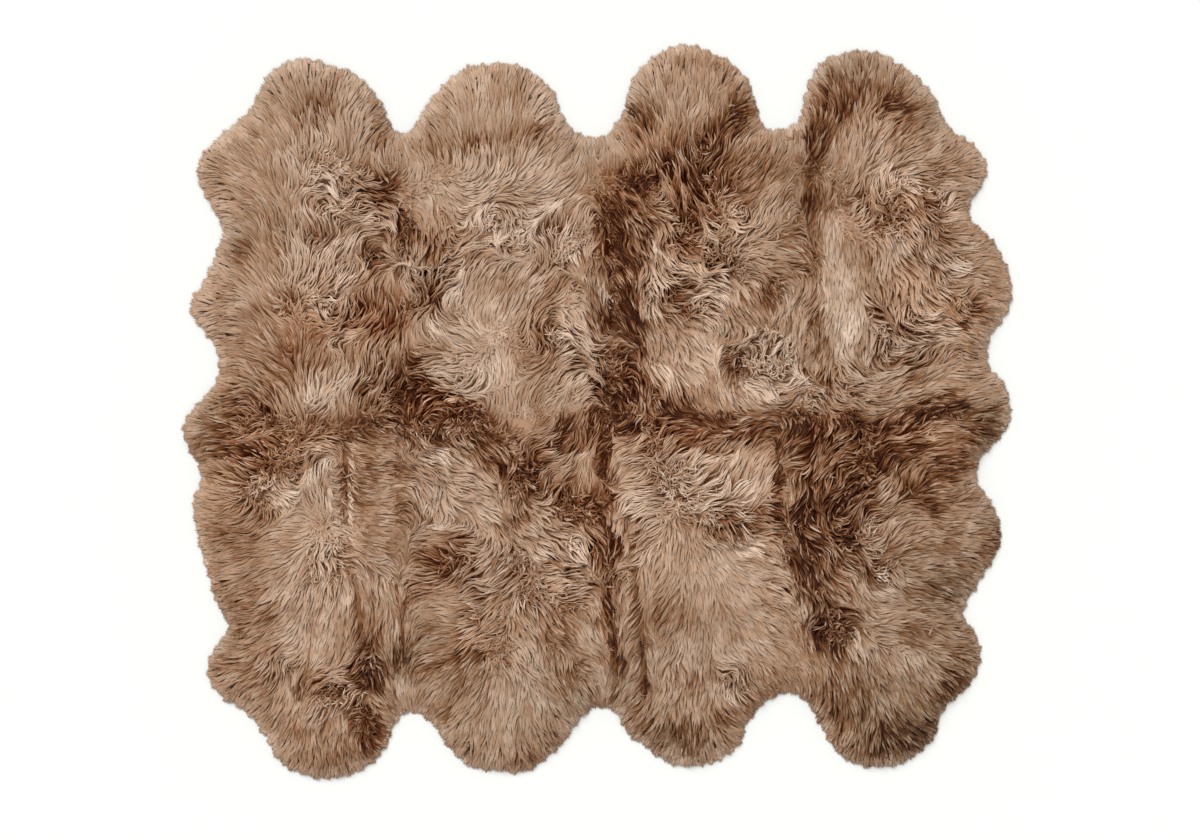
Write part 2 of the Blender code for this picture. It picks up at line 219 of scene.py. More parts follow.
# How the wool lies. Each row is a stroke of the comb: across, down, and where the tips point in degrees.
combing = np.array([
    # back 1
    (278, 104, 120), (292, 162, 105), (330, 130, 100), (373, 104, 65), (385, 115, 50), (234, 185, 155),
    (205, 185, 175), (395, 165, 90), (230, 260, 150), (270, 260, 120), (215, 300, 178), (280, 320, 127),
    (225, 350, 175), (270, 370, 145), (225, 400, 200), (315, 220, 95), (375, 365, 57), (322, 405, 90),
    (331, 189, -45), (365, 205, -20), (392, 215, -50), (340, 260, 80), (352, 300, 60), (330, 312, 10),
    (300, 400, 110), (345, 395, 75), (300, 80, 100), (345, 85, 75), (250, 130, 140), (320, 350, 75),
    # back 2
    (410, 150, 117), (455, 205, -60), (480, 235, 0), (497, 170, 78), (555, 175, 48), (600, 165, 95),
    (550, 240, 90), (478, 271, 67), (565, 290, 65), (418, 300, 90), (455, 340, 150), (450, 375, 198),
    (500, 360, 255), (574, 312, -62), (550, 372, 40), (562, 400, 48), (608, 355, 40), (515, 415, 88),
    (595, 275, -80), (598, 240, 265), (580, 262, 262), (600, 300, -70), (540, 335, 60), (440, 400, 215),
    (430, 240, 250), (520, 215, 10), (470, 100, 105), (520, 95, 75), (584, 225, 80), (500, 300, 75),
    (440, 110, 125), (555, 120, 55), (588, 332, -48), (475, 140, 95),
    # back 3
    (610, 200, -62), (620, 260, -62), (628, 320, -62), (652, 300, -65), (650, 350, -68), (640, 225, -50),
    (665, 245, -85), (690, 232, 20), (735, 212, 5), (780, 215, 55), (710, 227, 150), (715, 265, -40),
    (780, 265, -10), (700, 290, -28), (680, 325, -30), (695, 375, -60), (715, 400, -75), (740, 358, 200),
    (772, 355, 100), (797, 320, 270), (765, 385, -60), (790, 392, 5), (690, 90, 90), (650, 100, 102),
    (730, 100, 62), (690, 150, 92), (660, 165, 110), (730, 155, 60), (760, 175, 50), (700, 190, 100),
    (745, 290, -30), (730, 320, -60), (665, 385, -65), (620, 390, -80), (680, 60, 92), (640, 150, 110),
    # back 4
    (820, 90, 107), (850, 75, 92), (875, 72, 80), (920, 100, 25), (815, 130, 75), (855, 145, 85),
    (925, 150, 30), (930, 170, 25), (970, 170, 15), (886, 199, 65), (900, 188, 15), (918, 195, -30),
    (940, 218, 10), (920, 235, -75), (835, 230, 268), (838, 280, 268), (845, 330, 268), (815, 200, 250),
    (855, 215, 40), (893, 250, 262), (975, 255, -5), (1000, 280, -25), (917, 270, -50), (885, 305, -55),
    (945, 310, 0), (975, 345, -5), (960, 390, -8), (920, 370, 35), (870, 360, -75), (895, 385, 40),
    (860, 400, -20), (812, 300, 262), (812, 360, 250), (900, 110, 45), (880, 150, 60), (985, 200, 5),
    # front 1
    (235, 440, 180), (270, 445, 178), (310, 450, 15), (257, 500, 235), (285, 495, -47), (322, 470, 75),
    (234, 464, 145), (230, 540, 180), (270, 560, 195), (210, 595, 195), (300, 525, 180), (320, 500, 90),
    (338, 528, 0), (310, 575, 265), (335, 590, 270), (341, 480, 190), (341, 515, 185), (350, 470, -88),
    (350, 500, -88), (351, 530, -86), (360, 450, 2), (361, 480, 0), (362, 510, 0), (366, 540, -10),
    (376, 460, 0), (378, 490, 2), (380, 520, 0), (384, 550, -20), (374, 575, -62), (372, 605, -85),
    (390, 585, -66), (395, 630, -84), (378, 635, 262), (394, 470, -8), (396, 505, 2), (240, 670, 207),
    (270, 640, 215), (320, 640, 265), (340, 650, 268), (335, 676, 190), (365, 680, 240), (342, 700, 250),
    (270, 740, 242), (320, 740, 265), (362, 720, 262), (390, 705, -45), (397, 680, 270), (380, 750, -50),
    (290, 610, 230), (250, 600, 200), (300, 700, 250), (215, 500, 180), (240, 720, 222),
    # front 2
    (410, 460, -60), (440, 480, -50), (455, 460, -20), (480, 500, -35), (516, 490, 270), (545, 480, 40),
    (460, 550, 172), (440, 610, 182), (440, 650, 195), (570, 470, 60), (595, 490, 88), (560, 550, -5),
    (590, 530, -20), (480, 640, 215), (505, 655, -75), (545, 670, -63), (580, 670, -50), (430, 700, 228),
    (460, 700, 245), (500, 710, 265), (540, 715, -78), (570, 600, -10), (430, 540, 190), (420, 500, -65),
    (530, 440, 30), (500, 460, -60), (520, 530, -50), (500, 570, 200), (530, 620, -60), (585, 640, -45),
    (415, 580, 185), (590, 440, 70), (500, 750, 265), (545, 750, -70), (480, 600, 190), (560, 700, -60),
    # front 3
    (640, 440, 200), (665, 440, 30), (690, 440, 15), (640, 490, 182), (640, 540, 200), (685, 480, 45),
    (655, 500, 210), (755, 475, 62), (725, 522, -10), (730, 470, 60), (645, 560, 235), (680, 560, 268),
    (710, 555, -60), (755, 560, -20), (620, 600, 265), (625, 650, 265), (655, 620, 232), (660, 605, 230),
    (690, 660, 268), (740, 610, -45), (740, 660, -60), (775, 675, -28), (650, 730, 243), (690, 730, 268),
    (735, 730, -55), (700, 600, 270), (720, 640, -70), (610, 470, 250), (618, 520, 262), (770, 520, -10),
    (660, 690, 250), (770, 600, -25), (780, 640, -30), (630, 700, 230), (745, 440, 40), (700, 520, -60),
    # front 4
    (800, 450, 230), (850, 450, 225), (830, 490, 235), (808, 517, 250), (890, 450, 35), (930, 450, 15),
    (905, 475, 50), (895, 525, 45), (925, 535, 0), (950, 540, -8), (975, 520, -3), (990, 545, -5),
    (810, 590, -70), (825, 620, -75), (855, 640, -55), (910, 660, -50), (930, 610, -5), (962, 660, -30),
    (825, 720, -88), (865, 730, -90), (920, 727, -40), (860, 560, -40), (850, 520, 60), (820, 560, -75),
    (960, 590, -10), (890, 590, -20), (880, 690, -65), (940, 700, -45), (840, 680, -75), (900, 760, -70),
    (950, 480, 5), (850, 600, -60), (800, 650, -60), (980, 580, -12), (890, 630, 20), (890, 650, -60),
], float)

# Whorls and partings: across, down, reach, turn about the middle, push away from it, depth in metres.
whorls = np.array([
    (490, 210, 26, -1.6, 0.0, 0.002), (516, 252, 14, 1.6, 0.4, 0.006), (932, 207, 15, 1.8, 0.4, 0.008),
    (900, 200, 24, -1.2, 0.2, 0.004), (285, 660, 14, 1.6, 0.3, 0.007), (735, 676, 14, -1.6, 0.4, 0.008),
    (257, 492, 11, 0.3, 1.6, 0.012), (668, 490, 16, 0.2, 1.7, 0.01), (618, 540, 9, 0.0, 1.4, 0.01),
    (682, 518, 9, 0.6, 1.2, 0.01), (703, 518, 9, -0.6, 1.2, 0.01), (320, 525, 20, 0.2, 1.5, 0.004),
    (332, 312, 13, 1.5, 0.4, 0.006), (333, 342, 11, -1.4, 0.4, 0.006), (319, 241, 11, 0.5, 1.0, 0.009),
    (290, 309, 10, 0.4, 1.0, 0.009), (330, 558, 13, 1.4, 0.6, 0.009), (342, 690, 12, 1.4, 0.4, 0.007),
    (745, 222, 12, 1.0, 1.0, 0.01), (715, 260, 10, 0.4, 1.3, 0.011), (728, 268, 9, -0.4, 1.3, 0.011),
    (671, 174, 11, 0.4, 1.3, 0.01), (645, 182, 11, 0.3, 1.3, 0.01), (740, 358, 17, 1.5, 0.4, 0.008),
    (770, 356, 16, -1.2, 0.0, 0.003), (505, 650, 15, 0.0, 1.3, 0.006), (484, 357, 15, 0.0, 1.3, 0.005),
    (525, 478, 14, 0.4, 1.0, 0.01), (570, 505, 16, 0.6, 1.0, 0.01), (530, 458, 11, 0.8, 0.8, 0.008),
    (878, 570, 11, 0.3, 1.4, 0.011), (808, 517, 17, 0.2, 1.0, 0.01), (826, 622, 19, 0.4, 1.0, 0.01),
    (965, 305, 16, 0.8, 0.8, 0.008), (735, 528, 14, 1.0, 0.5, 0.009), (450, 560, 17, -0.8, 0.8, 0.008),
    (388, 175, 13, 0.6, 0.9, 0.009), (405, 226, 12, 0.3, 1.2, 0.011), (424, 300, 13, 1.3, 0.4, 0.008),
    (372, 262, 13, -0.9, 0.6, 0.007), (368, 312, 15, 1.0, 0.6, 0.008), (895, 97, 15, 0.5, 1.0, 0.008),
    (738, 108, 12, 0.3, 1.0, 0.008), (850, 218, 15, 1.2, 0.2, 0.006), (684, 228, 13, 1.3, 0.4, 0.008),
    (915, 492, 17, 0.4, 0.8, 0.007), (545, 352, 16, 1.0, 0.3, 0.006), (672, 665, 12, 0.9, 0.3, 0.004),
    (576, 664, 13, 0.6, 0.8, 0.008), (370, 665, 16, 0.5, 1.0, 0.01), (366, 724, 15, 0.2, 1.1, 0.011),
    (960, 348, 14, -1.0, 0.4, 0.006), (880, 735, 14, 0.2, 0.8, 0.005), (770, 292, 13, 1.0, 0.5, 0.006),
    (800, 388, 14, -1.1, 0.2, 0.005), (345, 205, 15, 1.2, 0.2, 0.006),
], float)

# Creases where the wool parts: from (across, down) to (across, down), reach, push to each side, depth.
creases = [
    (346, 437, 346, 545, 5, 0.7, 0.014), (352, 548, 364, 645, 6, 0.5, 0.012),
    (394, 560, 405, 655, 5, -0.3, 0.006), (636, 572, 642, 640, 9, 1.0, 0.009),
    (642, 640, 645, 692, 9, 0.8, 0.008), (867, 508, 867, 546, 9, 0.9, 0.008),
    (517, 543, 517, 567, 7, 0.9, 0.007), (527, 586, 527, 602, 7, 0.9, 0.007),
    (485, 588, 485, 607, 7, 0.9, 0.007), (890, 638, 952, 641, 8, -0.9, 0.003),
    (600, 440, 606, 600, 9, 0.25, 0.004), (606, 600, 612, 690, 9, 0.25, 0.002),
    (390, 385, 470, 412, 12, 0.7, 0.008), (470, 412, 600, 436, 11, 0.6, 0.008),
    (610, 425, 790, 420, 14, 0.4, 0.006), (800, 420, 905, 432, 14, 0.4, 0.006),
    (905, 432, 985, 408, 14, 0.4, 0.006), (205, 428, 292, 430, 12, 0.4, 0.005),
    (292, 430, 390, 428, 11, 0.4, 0.005), (806, 440, 800, 560, 12, 0.5, 0.008),
    (604, 175, 612, 400, 12, 0.3, 0.008), (403, 160, 404, 380, 8, 0.2, 0.003),
    (700, 150, 742, 100, 10, 0.8, 0.008), (640, 170, 700, 150, 10, 0.7, 0.008),
    (808, 110, 812, 190, 10, 0.6, 0.007), (372, 640, 368, 745, 9, 0.8, 0.008),
]

# Curly places: across, down, reach, amount. Elsewhere the wool is only a little uneven.
curls = np.array([
    (370, 210, 32, 0.9), (331, 189, 18, 0.7), (332, 312, 16, 0.7), (333, 342, 14, 0.7), (375, 375, 25, 0.6),
    (425, 280, 28, 0.7), (540, 335, 25, 0.8), (550, 240, 30, 0.5), (440, 405, 42, 0.6), (500, 230, 28, 0.5),
    (665, 230, 42, 0.6), (740, 358, 20, 0.9), (745, 222, 16, 0.8), (720, 262, 22, 0.8), (690, 290, 25, 0.6),
    (770, 355, 20, 0.7), (800, 390, 25, 0.5), (690, 175, 34, 0.5), (872, 212, 22, 0.8), (932, 207, 18, 0.9),
    (900, 205, 34, 0.6), (965, 305, 20, 0.5), (885, 305, 28, 0.4), (910, 330, 36, 0.7), (940, 260, 28, 0.5),
    (270, 450, 42, 0.6), (257, 492, 14, 0.8), (330, 558, 18, 0.9), (285, 660, 16, 0.8), (342, 690, 18, 0.8),
    (350, 675, 34, 0.5), (525, 465, 32, 0.5), (517, 555, 16, 0.6), (527, 595, 16, 0.6), (485, 598, 16, 0.5),
    (560, 575, 38, 0.6), (470, 560, 24, 0.4), (668, 490, 20, 0.6), (700, 485, 32, 0.8), (725, 522, 24, 0.8),
    (650, 440, 24, 0.4), (735, 676, 16, 0.9), (840, 470, 45, 0.4), (808, 517, 24, 0.4), (878, 570, 14, 0.7),
    (825, 620, 24, 0.6), (867, 525, 16, 0.5), (575, 505, 24, 0.6), (350, 300, 34, 0.5), (320, 250, 30, 0.4),
    (574, 342, 24, 0.6), (590, 366, 18, 0.6), (622, 385, 24, 0.5), (700, 300, 20, 0.3),
    # smooth places, where the middle's own curl is combed out
    (842, 250, 22, -0.7), (846, 290, 22, -0.9), (850, 328, 18, -1.0), (700, 590, 60, -0.5),
    (500, 350, 44, -0.4), (757, 482, 20, -0.9), (290, 580, 40, -0.4), (368, 460, 17, -1.0),
    (368, 495, 17, -1.0), (370, 530, 17, -1.0), (386, 470, 15, -0.8), (388, 520, 15, -0.8),
    (388, 610, 16, -0.8), (440, 620, 44, -0.3), (930, 600, 50, -0.4), (320, 640, 36, -0.5),
], float)

# Darker and lighter wool: across, down, half width, half height, how much, and any turn in degrees.
patches = [
    # the dark band between the second and third pelts, partly painted shade in the seam's dip, and the dark
    # slant over the third
    (658, 173, 20, 12, -0.5, 12), (618, 207, 18, 22, -0.8), (622, 250, 15, 38, -0.9, 8),
    (626, 312, 13, 38, -0.9, 12), (622, 382, 23, 30, -0.95), (599, 318, 12, 15, -0.7),
    (604, 235, 9, 34, -0.4), (637, 292, 7, 20, -0.35, 10), (612, 325, 9, 24, -0.45, 30),
    (734, 122, 10, 18, -0.8, -22), (708, 148, 22, 15, -0.5, 35), (652, 126, 17, 18, -0.34),
    (647, 232, 8, 18, -0.5), (676, 399, 18, 8, -0.46), (594, 394, 10, 14, -0.42), (686, 168, 26, 15, -0.45),
    (745, 172, 28, 14, -0.46), (706, 196, 20, 20, -0.6), (685, 226, 12, 18, -0.55),
    (720, 264, 20, 12, -0.35, -15), (678, 296, 16, 18, -0.36), (737, 358, 14, 20, -0.45, -10),
    (770, 290, 16, 18, -0.3), (640, 120, 12, 26, -0.3, 12), (770, 340, 12, 12, -0.2),
    # back 4
    (811, 148, 11, 26, -0.75, -8), (828, 92, 13, 26, -0.5, -28), (889, 106, 18, 12, -0.8, -30),
    (862, 68, 30, 10, -0.1), (820, 205, 20, 16, -0.45), (897, 212, 32, 10, -0.3, 22),
    (843, 116, 13, 32, -0.62, -31), (912, 122, 22, 22, -0.3), (956, 318, 14, 8, -0.44),
    (820, 352, 7, 30, -0.26), (922, 411, 26, 7, -0.4, 14), (872, 345, 9, 10, -0.2), (935, 266, 8, 9, -0.28),
    (885, 225, 14, 10, -0.16), (814, 240, 8, 18, -0.18), (808, 196, 9, 9, -0.44), (832, 441, 13, 8, -0.4),
    (825, 485, 9, 8, -0.3), (811, 320, 11, 28, -0.3), (871, 285, 9, 38, -0.26, -8),
    (965, 312, 18, 14, -0.22), (934, 240, 14, 14, -0.25), (926, 172, 12, 12, -0.18),
    (960, 350, 16, 14, -0.3), (905, 335, 24, 20, -0.18), (800, 260, 9, 40, -0.22), (985, 240, 16, 20, -0.1),
    # along the long seam: darker wool, partly painted shade in the seam's dip
    (416, 402, 30, 20, -0.85), (414, 370, 13, 20, -0.6), (470, 412, 30, 13, -0.65, -12),
    (510, 436, 28, 9, -0.5, -14), (531, 472, 14, 20, -0.62, -12), (578, 424, 24, 10, -0.5, 24),
    (625, 424, 36, 14, -0.56), (684, 419, 34, 16, -0.44), (742, 426, 48, 15, -0.46, -4),
    (820, 424, 38, 20, -0.75), (862, 428, 24, 13, -0.5), (910, 442, 38, 11, -0.5, 12),
    (950, 409, 38, 11, -0.62, 10), (986, 424, 14, 12, -0.35, -30), (258, 405, 32, 12, -0.35),
    (214, 440, 32, 28, -0.28), (270, 455, 38, 20, -0.4), (312, 430, 30, 8, -0.3, 6),
    (488, 448, 28, 12, -0.52, -22), (438, 436, 18, 10, -0.4), (574, 444, 18, 11, -0.42),
    (612, 478, 10, 24, -0.75), (690, 444, 30, 8, -0.42), (742, 440, 34, 11, -0.4), (777, 482, 7, 36, -0.62),
    (945, 461, 26, 11, -0.5, 8), (972, 432, 16, 16, -0.28), (671, 414, 12, 20, -0.6),
    (508, 468, 16, 9, -0.42), (545, 465, 9, 9, -0.4), (364, 448, 9, 24, -0.3), (400, 458, 16, 12, -0.22),
    (690, 450, 15, 6, -0.42), (395, 512, 10, 12, -0.26), (805, 450, 22, 9, -0.24), (890, 470, 12, 16, -0.2),
    (912, 417, 14, 9, -0.3), (902, 376, 10, 14, -0.32, -24), (352, 432, 20, 10, -0.32),
    (378, 425, 15, 16, -0.4), (360, 400, 14, 16, -0.25, 30),
    # back 1 and back 2
    (394, 186, 20, 18, -0.26, 20), (378, 140, 11, 18, -0.36), (319, 240, 8, 12, -0.3),
    (262, 370, 38, 34, -0.3), (266, 318, 13, 18, -0.26), (390, 336, 18, 11, -0.75),
    (430, 312, 10, 10, -0.8), (425, 368, 9, 12, -0.8), (310, 115, 30, 14, -0.42), (534, 140, 12, 10, -0.36),
    (378, 190, 15, 8, -0.32), (402, 426, 10, 10, -0.34), (238, 418, 11, 15, -0.36),
    (282, 438, 16, 12, -0.26), (312, 673, 9, 10, -0.32), (515, 105, 14, 34, -0.22),
    (482, 150, 34, 12, -0.26), (434, 124, 16, 22, -0.14), (555, 290, 14, 16, -0.26),
    (535, 350, 13, 36, -0.34), (505, 296, 14, 10, -0.18), (378, 205, 9, 34, -0.4), (371, 266, 8, 16, -0.3),
    (437, 232, 11, 13, -0.28), (441, 402, 13, 8, -0.34), (361, 396, 9, 9, -0.32), (275, 412, 13, 18, -0.34),
    (276, 468, 28, 6, -0.36, 8), (600, 397, 12, 9, -0.26), (293, 312, 7, 7, -0.2),
    (300, 366, 34, 14, -0.16), (250, 258, 12, 10, -0.2), (226, 288, 14, 9, -0.16), (291, 308, 8, 10, -0.4),
    (372, 265, 10, 22, -0.36, 8), (377, 312, 24, 17, -0.5), (405, 232, 12, 15, -0.44, -20),
    (428, 288, 10, 20, -0.4, 20), (408, 310, 14, 8, -0.42, 20), (290, 350, 14, 18, -0.22),
    (326, 350, 12, 16, -0.18), (375, 378, 13, 20, -0.32, -30), (320, 102, 28, 9, -0.16),
    (247, 255, 10, 14, -0.14), (440, 240, 16, 13, -0.3), (478, 146, 20, 8, -0.24), (540, 140, 20, 12, -0.3),
    (428, 156, 13, 12, -0.24), (546, 360, 13, 18, -0.32), (520, 322, 9, 22, -0.2), (570, 276, 12, 12, -0.2),
    (470, 260, 28, 12, -0.14), (592, 266, 9, 20, -0.26), (505, 208, 20, 10, -0.14, 20),
    # front 1
    (370, 664, 20, 15, -0.75), (367, 725, 14, 22, -0.85), (392, 690, 9, 20, -0.32, -20),
    (332, 558, 10, 10, -0.14), (252, 530, 26, 46, -0.26), (262, 632, 38, 26, -0.24, 20),
    (395, 640, 16, 26, -0.26), (335, 745, 30, 24, -0.2), (414, 600, 16, 20, -0.16),
    (310, 650, 8, 24, -0.18), (224, 530, 18, 18, -0.26), (238, 600, 20, 24, -0.22),
    (311, 685, 14, 8, -0.36), (284, 661, 11, 9, -0.26), (228, 660, 22, 14, -0.18),
    (320, 755, 50, 14, -0.12), (371, 625, 8, 20, -0.42), (330, 690, 30, 8, -0.3), (346, 490, 3.5, 52, -0.3),
    (358, 600, 5, 50, -0.2, -5), (364, 490, 8, 52, -0.26), (400, 608, 4, 48, -0.16, -5),
    (408, 520, 12, 26, -0.14),
    # front 2
    (452, 562, 22, 14, -0.48, 10), (424, 556, 14, 10, -0.16), (573, 505, 22, 14, -0.6),
    (562, 562, 9, 22, -0.3, 30), (546, 632, 22, 16, -0.22), (466, 650, 16, 12, -0.18),
    (617, 556, 9, 14, -0.75), (634, 528, 9, 14, -0.24), (600, 702, 24, 12, -0.3), (532, 762, 22, 9, -0.22),
    (418, 502, 12, 12, -0.18), (617, 640, 8, 14, -0.4), (460, 540, 16, 7, -0.36),
    (510, 516, 12, 9, -0.22, 30), (576, 512, 14, 9, -0.3, 40), (414, 662, 10, 44, -0.26),
    (456, 712, 9, 22, -0.2), (490, 632, 20, 14, -0.22), (436, 590, 22, 10, -0.18), (554, 556, 9, 10, -0.22),
    (550, 680, 22, 12, -0.16), (515, 518, 10, 8, -0.42, 20), (604, 452, 9, 22, -0.55),
    (605, 545, 13, 26, -0.78), (610, 600, 9, 26, -0.5), (614, 652, 11, 32, -0.66),
    (540, 572, 13, 18, -0.3, 30), (470, 602, 28, 18, -0.14), (440, 662, 38, 12, -0.26),
    (480, 672, 18, 14, -0.26, 20), (576, 665, 14, 13, -0.42), (560, 602, 14, 14, -0.22),
    (526, 602, 7, 12, -0.28), (600, 505, 8, 24, -0.5), (545, 748, 30, 10, -0.15, 20),
    (450, 700, 26, 12, -0.14, 30),
    # front 3
    (662, 480, 6, 14, -0.3), (682, 516, 12, 8, -0.46, -12), (726, 535, 22, 7, -0.62, 14),
    (700, 475, 16, 14, -0.12), (674, 615, 28, 9, -0.26), (735, 675, 12, 9, -0.34), (694, 732, 30, 14, -0.5),
    (716, 716, 16, 10, -0.24), (640, 700, 10, 26, -0.2), (768, 686, 26, 16, -0.46),
    (632, 735, 20, 16, -0.26), (704, 610, 18, 12, -0.34), (740, 708, 20, 9, -0.42), (664, 746, 12, 8, -0.4),
    (664, 588, 18, 16, -0.22), (656, 630, 12, 34, -0.18), (690, 672, 16, 12, -0.18),
    (760, 500, 9, 12, -0.2), (652, 455, 10, 10, -0.14), (770, 545, 12, 18, -0.2),
    # front 4, with painted shade along its lower right rim
    (808, 512, 28, 42, -0.8), (852, 480, 30, 17, -0.62, 42), (882, 456, 30, 12, -0.5, 14),
    (846, 538, 12, 20, -0.6), (808, 562, 17, 20, -0.62), (791, 582, 12, 10, -0.5),
    (822, 624, 21, 21, -0.85), (842, 640, 12, 12, -0.35), (915, 490, 21, 16, -0.42),
    (926, 510, 9, 9, -0.34), (878, 570, 10, 7, -0.55), (991, 545, 12, 18, -0.55),
    (958, 686, 20, 11, -0.6, 34), (888, 738, 34, 12, -0.48), (925, 722, 18, 10, -0.36, 25),
    (836, 690, 22, 18, -0.34), (840, 741, 15, 11, -0.36), (848, 565, 8, 14, -0.2),
    (945, 672, 18, 14, -0.34), (903, 724, 26, 10, -0.34), (925, 588, 20, 14, -0.26), (782, 610, 9, 9, -0.2),
    (860, 710, 24, 9, -0.3), (925, 600, 70, 90, -0.1), (965, 640, 22, 10, -0.24, 30),
    # lighter wool
    (322, 540, 15, 38, 0.22, 24), (298, 498, 14, 14, 0.26), (324, 620, 8, 34, 0.16),
    (606, 286, 7, 15, 0.44), (716, 289, 18, 8, 0.26), (337, 278, 13, 17, 0.28), (308, 404, 20, 8, 0.34),
    (732, 387, 24, 10, 0.24), (655, 365, 15, 17, 0.26), (918, 189, 26, 8, 0.3), (940, 338, 24, 8, 0.3),
    (762, 490, 38, 6, 0.24), (876, 580, 18, 8, 0.34), (581, 588, 8, 22, 0.24), (472, 396, 14, 12, 0.24),
    (763, 216, 12, 12, 0.24), (400, 680, 9, 10, 0.26), (650, 274, 10, 10, 0.22), (622, 158, 16, 8, 0.24),
    (872, 380, 9, 14, 0.24), (531, 446, 9, 8, 0.2), (318, 176, 26, 18, 0.28), (515, 198, 46, 44, 0.16),
    (333, 232, 10, 22, 0.16), (316, 262, 12, 10, 0.12), (678, 370, 20, 12, 0.26), (752, 384, 20, 14, 0.26),
    (723, 350, 8, 12, 0.2), (795, 358, 7, 14, 0.28), (742, 246, 12, 13, 0.24), (656, 276, 8, 14, 0.18),
    (788, 302, 18, 11, 0.26), (862, 414, 16, 12, 0.28), (902, 190, 14, 12, 0.24), (952, 290, 12, 10, 0.24),
    (924, 332, 11, 10, 0.24), (508, 424, 14, 9, 0.28), (742, 546, 16, 8, 0.3), (802, 492, 11, 12, 0.34),
    (828, 528, 14, 22, 0.22), (866, 545, 12, 24, 0.3), (880, 608, 10, 16, 0.14), (852, 635, 16, 12, 0.2),
    (732, 144, 12, 12, 0.2), (672, 516, 16, 12, 0.12), (900, 652, 24, 12, 0.14), (880, 620, 8, 26, 0.12),
    (342, 172, 14, 14, 0.12), (930, 190, 22, 9, 0.16), (770, 370, 24, 12, 0.14), (690, 330, 14, 22, 0.08),
    (470, 602, 22, 9, 0.12, 30), (540, 582, 8, 18, 0.12, 28), (500, 345, 30, 50, 0.18),
    (462, 345, 24, 40, 0.14), (845, 275, 15, 60, 0.26, 5), (848, 322, 13, 24, 0.26, 4),
    (838, 222, 16, 20, 0.2), (322, 390, 22, 16, 0.28), (335, 240, 14, 24, 0.1),
    (562, 310, 20, 12, 0.22, 20), (470, 188, 30, 22, 0.12), (640, 258, 11, 20, 0.16),
    (652, 330, 9, 40, 0.2, -8), (703, 350, 14, 38, 0.24), (755, 392, 30, 10, 0.14),
    (270, 490, 22, 12, 0.34, 14), (312, 640, 26, 30, 0.26), (290, 570, 18, 56, 0.14),
    (379, 500, 5, 54, 0.2), (386, 615, 7, 40, 0.26), (352, 505, 2.5, 34, 0.34), (486, 510, 14, 13, 0.34),
    (430, 478, 26, 34, 0.14), (552, 556, 10, 30, 0.26, 28), (575, 560, 7, 34, 0.2),
    (720, 482, 26, 22, 0.24), (757, 480, 14, 24, 0.16), (700, 568, 56, 24, 0.16), (636, 500, 16, 38, 0.18),
    (735, 640, 38, 36, 0.1), (836, 462, 24, 4, 0.4, 42), (942, 427, 20, 8, 0.36),
    (908, 382, 20, 9, 0.26, 42), (890, 250, 13, 20, 0.22), (872, 140, 28, 34, 0.08),
    (598, 488, 7, 14, 0.34), (636, 448, 20, 10, 0.16), (600, 560, 4, 30, 0.1), (500, 680, 28, 32, 0.18, 20),
    (535, 290, 9, 9, 0.2), (345, 520, 8, 30, 0.1), (720, 60, 20, 10, 0.06, -20),
]

